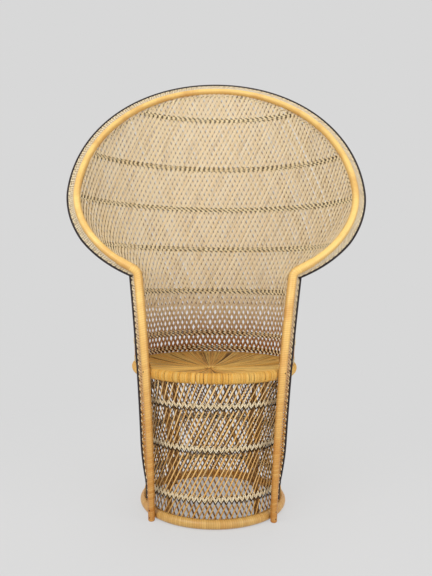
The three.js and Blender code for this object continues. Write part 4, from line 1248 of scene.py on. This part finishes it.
def build_seat_strips():
    """Strips of peel from the hub over the rim and down its outside."""
    few, many = STRIP_WAVE_COUNTS
    top_count = len(STRIP_SHARES)
    piece = Piece("seat_strips")
    for number in range(SEAT_STRIPS):
        angle = math.tau * (number + draw.uniform(-STRIP_STRAY, STRIP_STRAY)) / SEAT_STRIPS
        wave = math.sin(angle * few) + math.sin(angle * many + 1)
        lift = (wave * STRIP_WAVE_LIFT + draw.uniform(-STRIP_LIFT, STRIP_LIFT)) * MM
        points = [seat_point(angle, share, lift) for share in STRIP_SHARES]
        points += [seat_rim_point(angle, math.radians(turn), SEAT_RIM_REACH) for turn in SEAT_RIM_TURNS]
        side = Vector((-math.sin(angle), math.cos(angle), 0))
        is_loose = wave < LOOSE_BELOW and draw.random() < LOOSE_CHANCE
        tone = draw.random()
        lengths = lengths_along(points)
        stations = []
        for index, (point, along) in enumerate(zip(points, tangents(points))):
            from_hub = math.hypot(point.x + HUB_LEFT, point.y - AXIS_Y + HUB_FORWARD)
            from_axis = math.hypot(point.x, point.y - AXIS_Y)
            share = min(index / top_count, 1)
            room = math.tau * (from_hub + (from_axis - from_hub) * share) / SEAT_STRIPS
            is_narrow = is_loose and 0 < index < top_count
            width = room * (LOOSE_WIDTH_SHARE if is_narrow else STRIP_LAP_SHARE)
            stations.append(station(point, along, side, width / 2, STRIP_THICKNESS))
        start = draw.random() * PATTERN_SPREAD
        # The mark on the loose strips' tops is painted shade
        piece.sweep(stations, ROD_SIDES, lambda index: {
            "tone": tone, "along": start + lengths[index], "groove": 1.0 if index >= top_count else 0.0,
            "stain_and_shade": 1.0 if is_loose and index < top_count else 0.0})
    piece.finish(SEAT_STRIP, "seat_peel", "seat_weave")


def build_seat_backing():
    """A dark shell just under the strips, seen where they part; its dark colour is painted shade."""
    stations = []
    for share in BACKING_SHARES:
        left, right, front, rear = (seat_point(angle, share, -BACKING_DROP)
                                    for angle in (math.pi, 0, -math.pi / 2, math.pi / 2))
        middle = Vector(((left.x + right.x) / 2, (front.y + rear.y) / 2, front.z))
        half = (right.x - left.x) / 2
        stations.append(Matrix.Translation(middle) @ Matrix.Diagonal((half, half, 1, 1)))
    for turn in BACKING_RIM_TURNS:
        rim = seat_rim_point(0, math.radians(turn), SEAT_RIM_REACH - BACKING_INSET)
        stations.append(Matrix.Translation(spot(0, 0, rim.z)) @ Matrix.Diagonal((rim.x, rim.x, 1, 1)))
    piece = Piece("seat_backing")
    piece.shell(stations, BACKING_SIDES)
    backing = piece.finish(SHADED_CANE, "seat_peel")
    wall = backing.modifiers.new("thickness", "SOLIDIFY")
    wall.thickness = BACKING_THICKNESS
    wall.offset = -1


def build_seat_hub():
    """Rings of twine over the strips' inner ends."""
    piece = Piece("seat_hub")
    height = SEAT_HEIGHT - SEAT_SAG + HUB_RISE
    for radius in HUB_RINGS:
        line = [(spot(out.x * radius - HUB_LEFT, out.y * radius - HUB_FORWARD, height), UP, out)
                for out in circle(HUB_STEPS)]
        twine(piece, line, HUB_STITCH, **HUB_TWINING, closed=True)
    piece.finish(SEAT_STRIP, "seat_peel")


def dress_frame():
    """The frame's pieces whose shape stays get bare rattan."""
    names = ["seat_ring", "seat_rail_cross", "seat_rail_long"]
    names += [f"drum_post_{place}" for place in ("front_left", "front_right", "rear_left", "rear_right")]
    for name in names:
        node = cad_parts[name]
        node.data.materials.clear()
        node.data.materials.append(BARE_POLE)


def build_stage():
    """Floor, backdrop, soft lamps and the camera."""
    background = srgb(216, 216, 216)
    bpy.ops.mesh.primitive_plane_add(size=FLOOR_SIZE, location=(0, 0, -FLOOR_DROP))
    floor = bpy.context.object
    floor.name = "floor"
    finish = Finish("pale_floor", 0.9, 0.1)
    finish.set("Base Color", srgb(224, 224, 224))
    from_axis = finish.node("ShaderNodeVectorMath", {"operation": "DISTANCE"},
                            {0: finish.place(), 1: (0, AXIS_Y, 0)}, "Value")
    outside = finish.ramp(from_axis, BASE_RADIUS - BASE_TUBE, BASE_RADIUS + BASE_TUBE)
    far = finish.ramp(from_axis, *PLAIN_RISE)
    share = PLAIN_INSIDE + outside * (PLAIN_NEAR - PLAIN_INSIDE) + far * (1 - PLAIN_NEAR)
    share = share * finish.seen_directly()
    glow = finish.node("ShaderNodeEmission", {}, {0: background})
    lit = Socket(finish, finish.shader.outputs[0])
    mixed = finish.node("ShaderNodeMixShader", {}, {0: share, 1: lit, 2: glow})
    finish.feed(finish.tree.nodes["Material Output"].inputs[0], mixed)
    floor.data.materials.append(finish.material)

    world = bpy.data.worlds.new("studio")
    bpy.context.scene.world = world
    world.use_nodes = True
    nodes = Nodes(world.node_tree)
    seen = nodes.node("ShaderNodeBackground", {}, {0: background})
    light = nodes.node("ShaderNodeBackground", {}, {0: WHITE, 1: WORLD_LIGHT})
    choice = nodes.node("ShaderNodeMixShader", {}, {0: nodes.seen_directly(), 1: light, 2: seen})
    nodes.feed(world.node_tree.nodes["World Output"].inputs[0], choice)

    for name, place, size, power in LAMPS:
        data = bpy.data.lights.new(name, "AREA")
        data.shape = "SQUARE"
        data.size = size
        data.energy = power
        lamp = bpy.data.objects.new(name, data)
        lamp.location = place
        lamp.rotation_euler = (LAMP_AIM - Vector(place)).to_track_quat("-Z", "Y").to_euler()
        bpy.context.scene.collection.objects.link(lamp)

    data = bpy.data.cameras.new("view")
    data.sensor_width = SENSOR_WIDTH
    data.lens = data.sensor_width * FOCAL_PIXELS / PICTURE_HEIGHT
    camera = bpy.data.objects.new("view", data)
    camera.location = (CAMERA_SIDE, AXIS_Y - CAMERA_DISTANCE, CAMERA_HEIGHT)
    data.shift_y = -VIEW_DROP / PICTURE_HEIGHT
    turn = Matrix.Rotation(math.pi / 2, 4, "X") @ Matrix.Rotation(CAMERA_ROLL, 4, "Z")
    camera.rotation_euler = turn.to_euler()
    bpy.context.scene.collection.objects.link(camera)
    bpy.context.scene.camera = camera
    bpy.context.scene.view_settings.view_transform = "Standard"


build_poles()
build_nails()
build_drum_rods()
build_drum_bands()
build_back_rods()
build_back_bands()
build_selvage()
build_flanges()
build_seat_strips()
build_seat_backing()
build_seat_hub()
dress_frame()
build_stage()

for tube in TUBES.values():
    bpy.data.meshes.remove(tube)
bpy.context.view_layer.update()
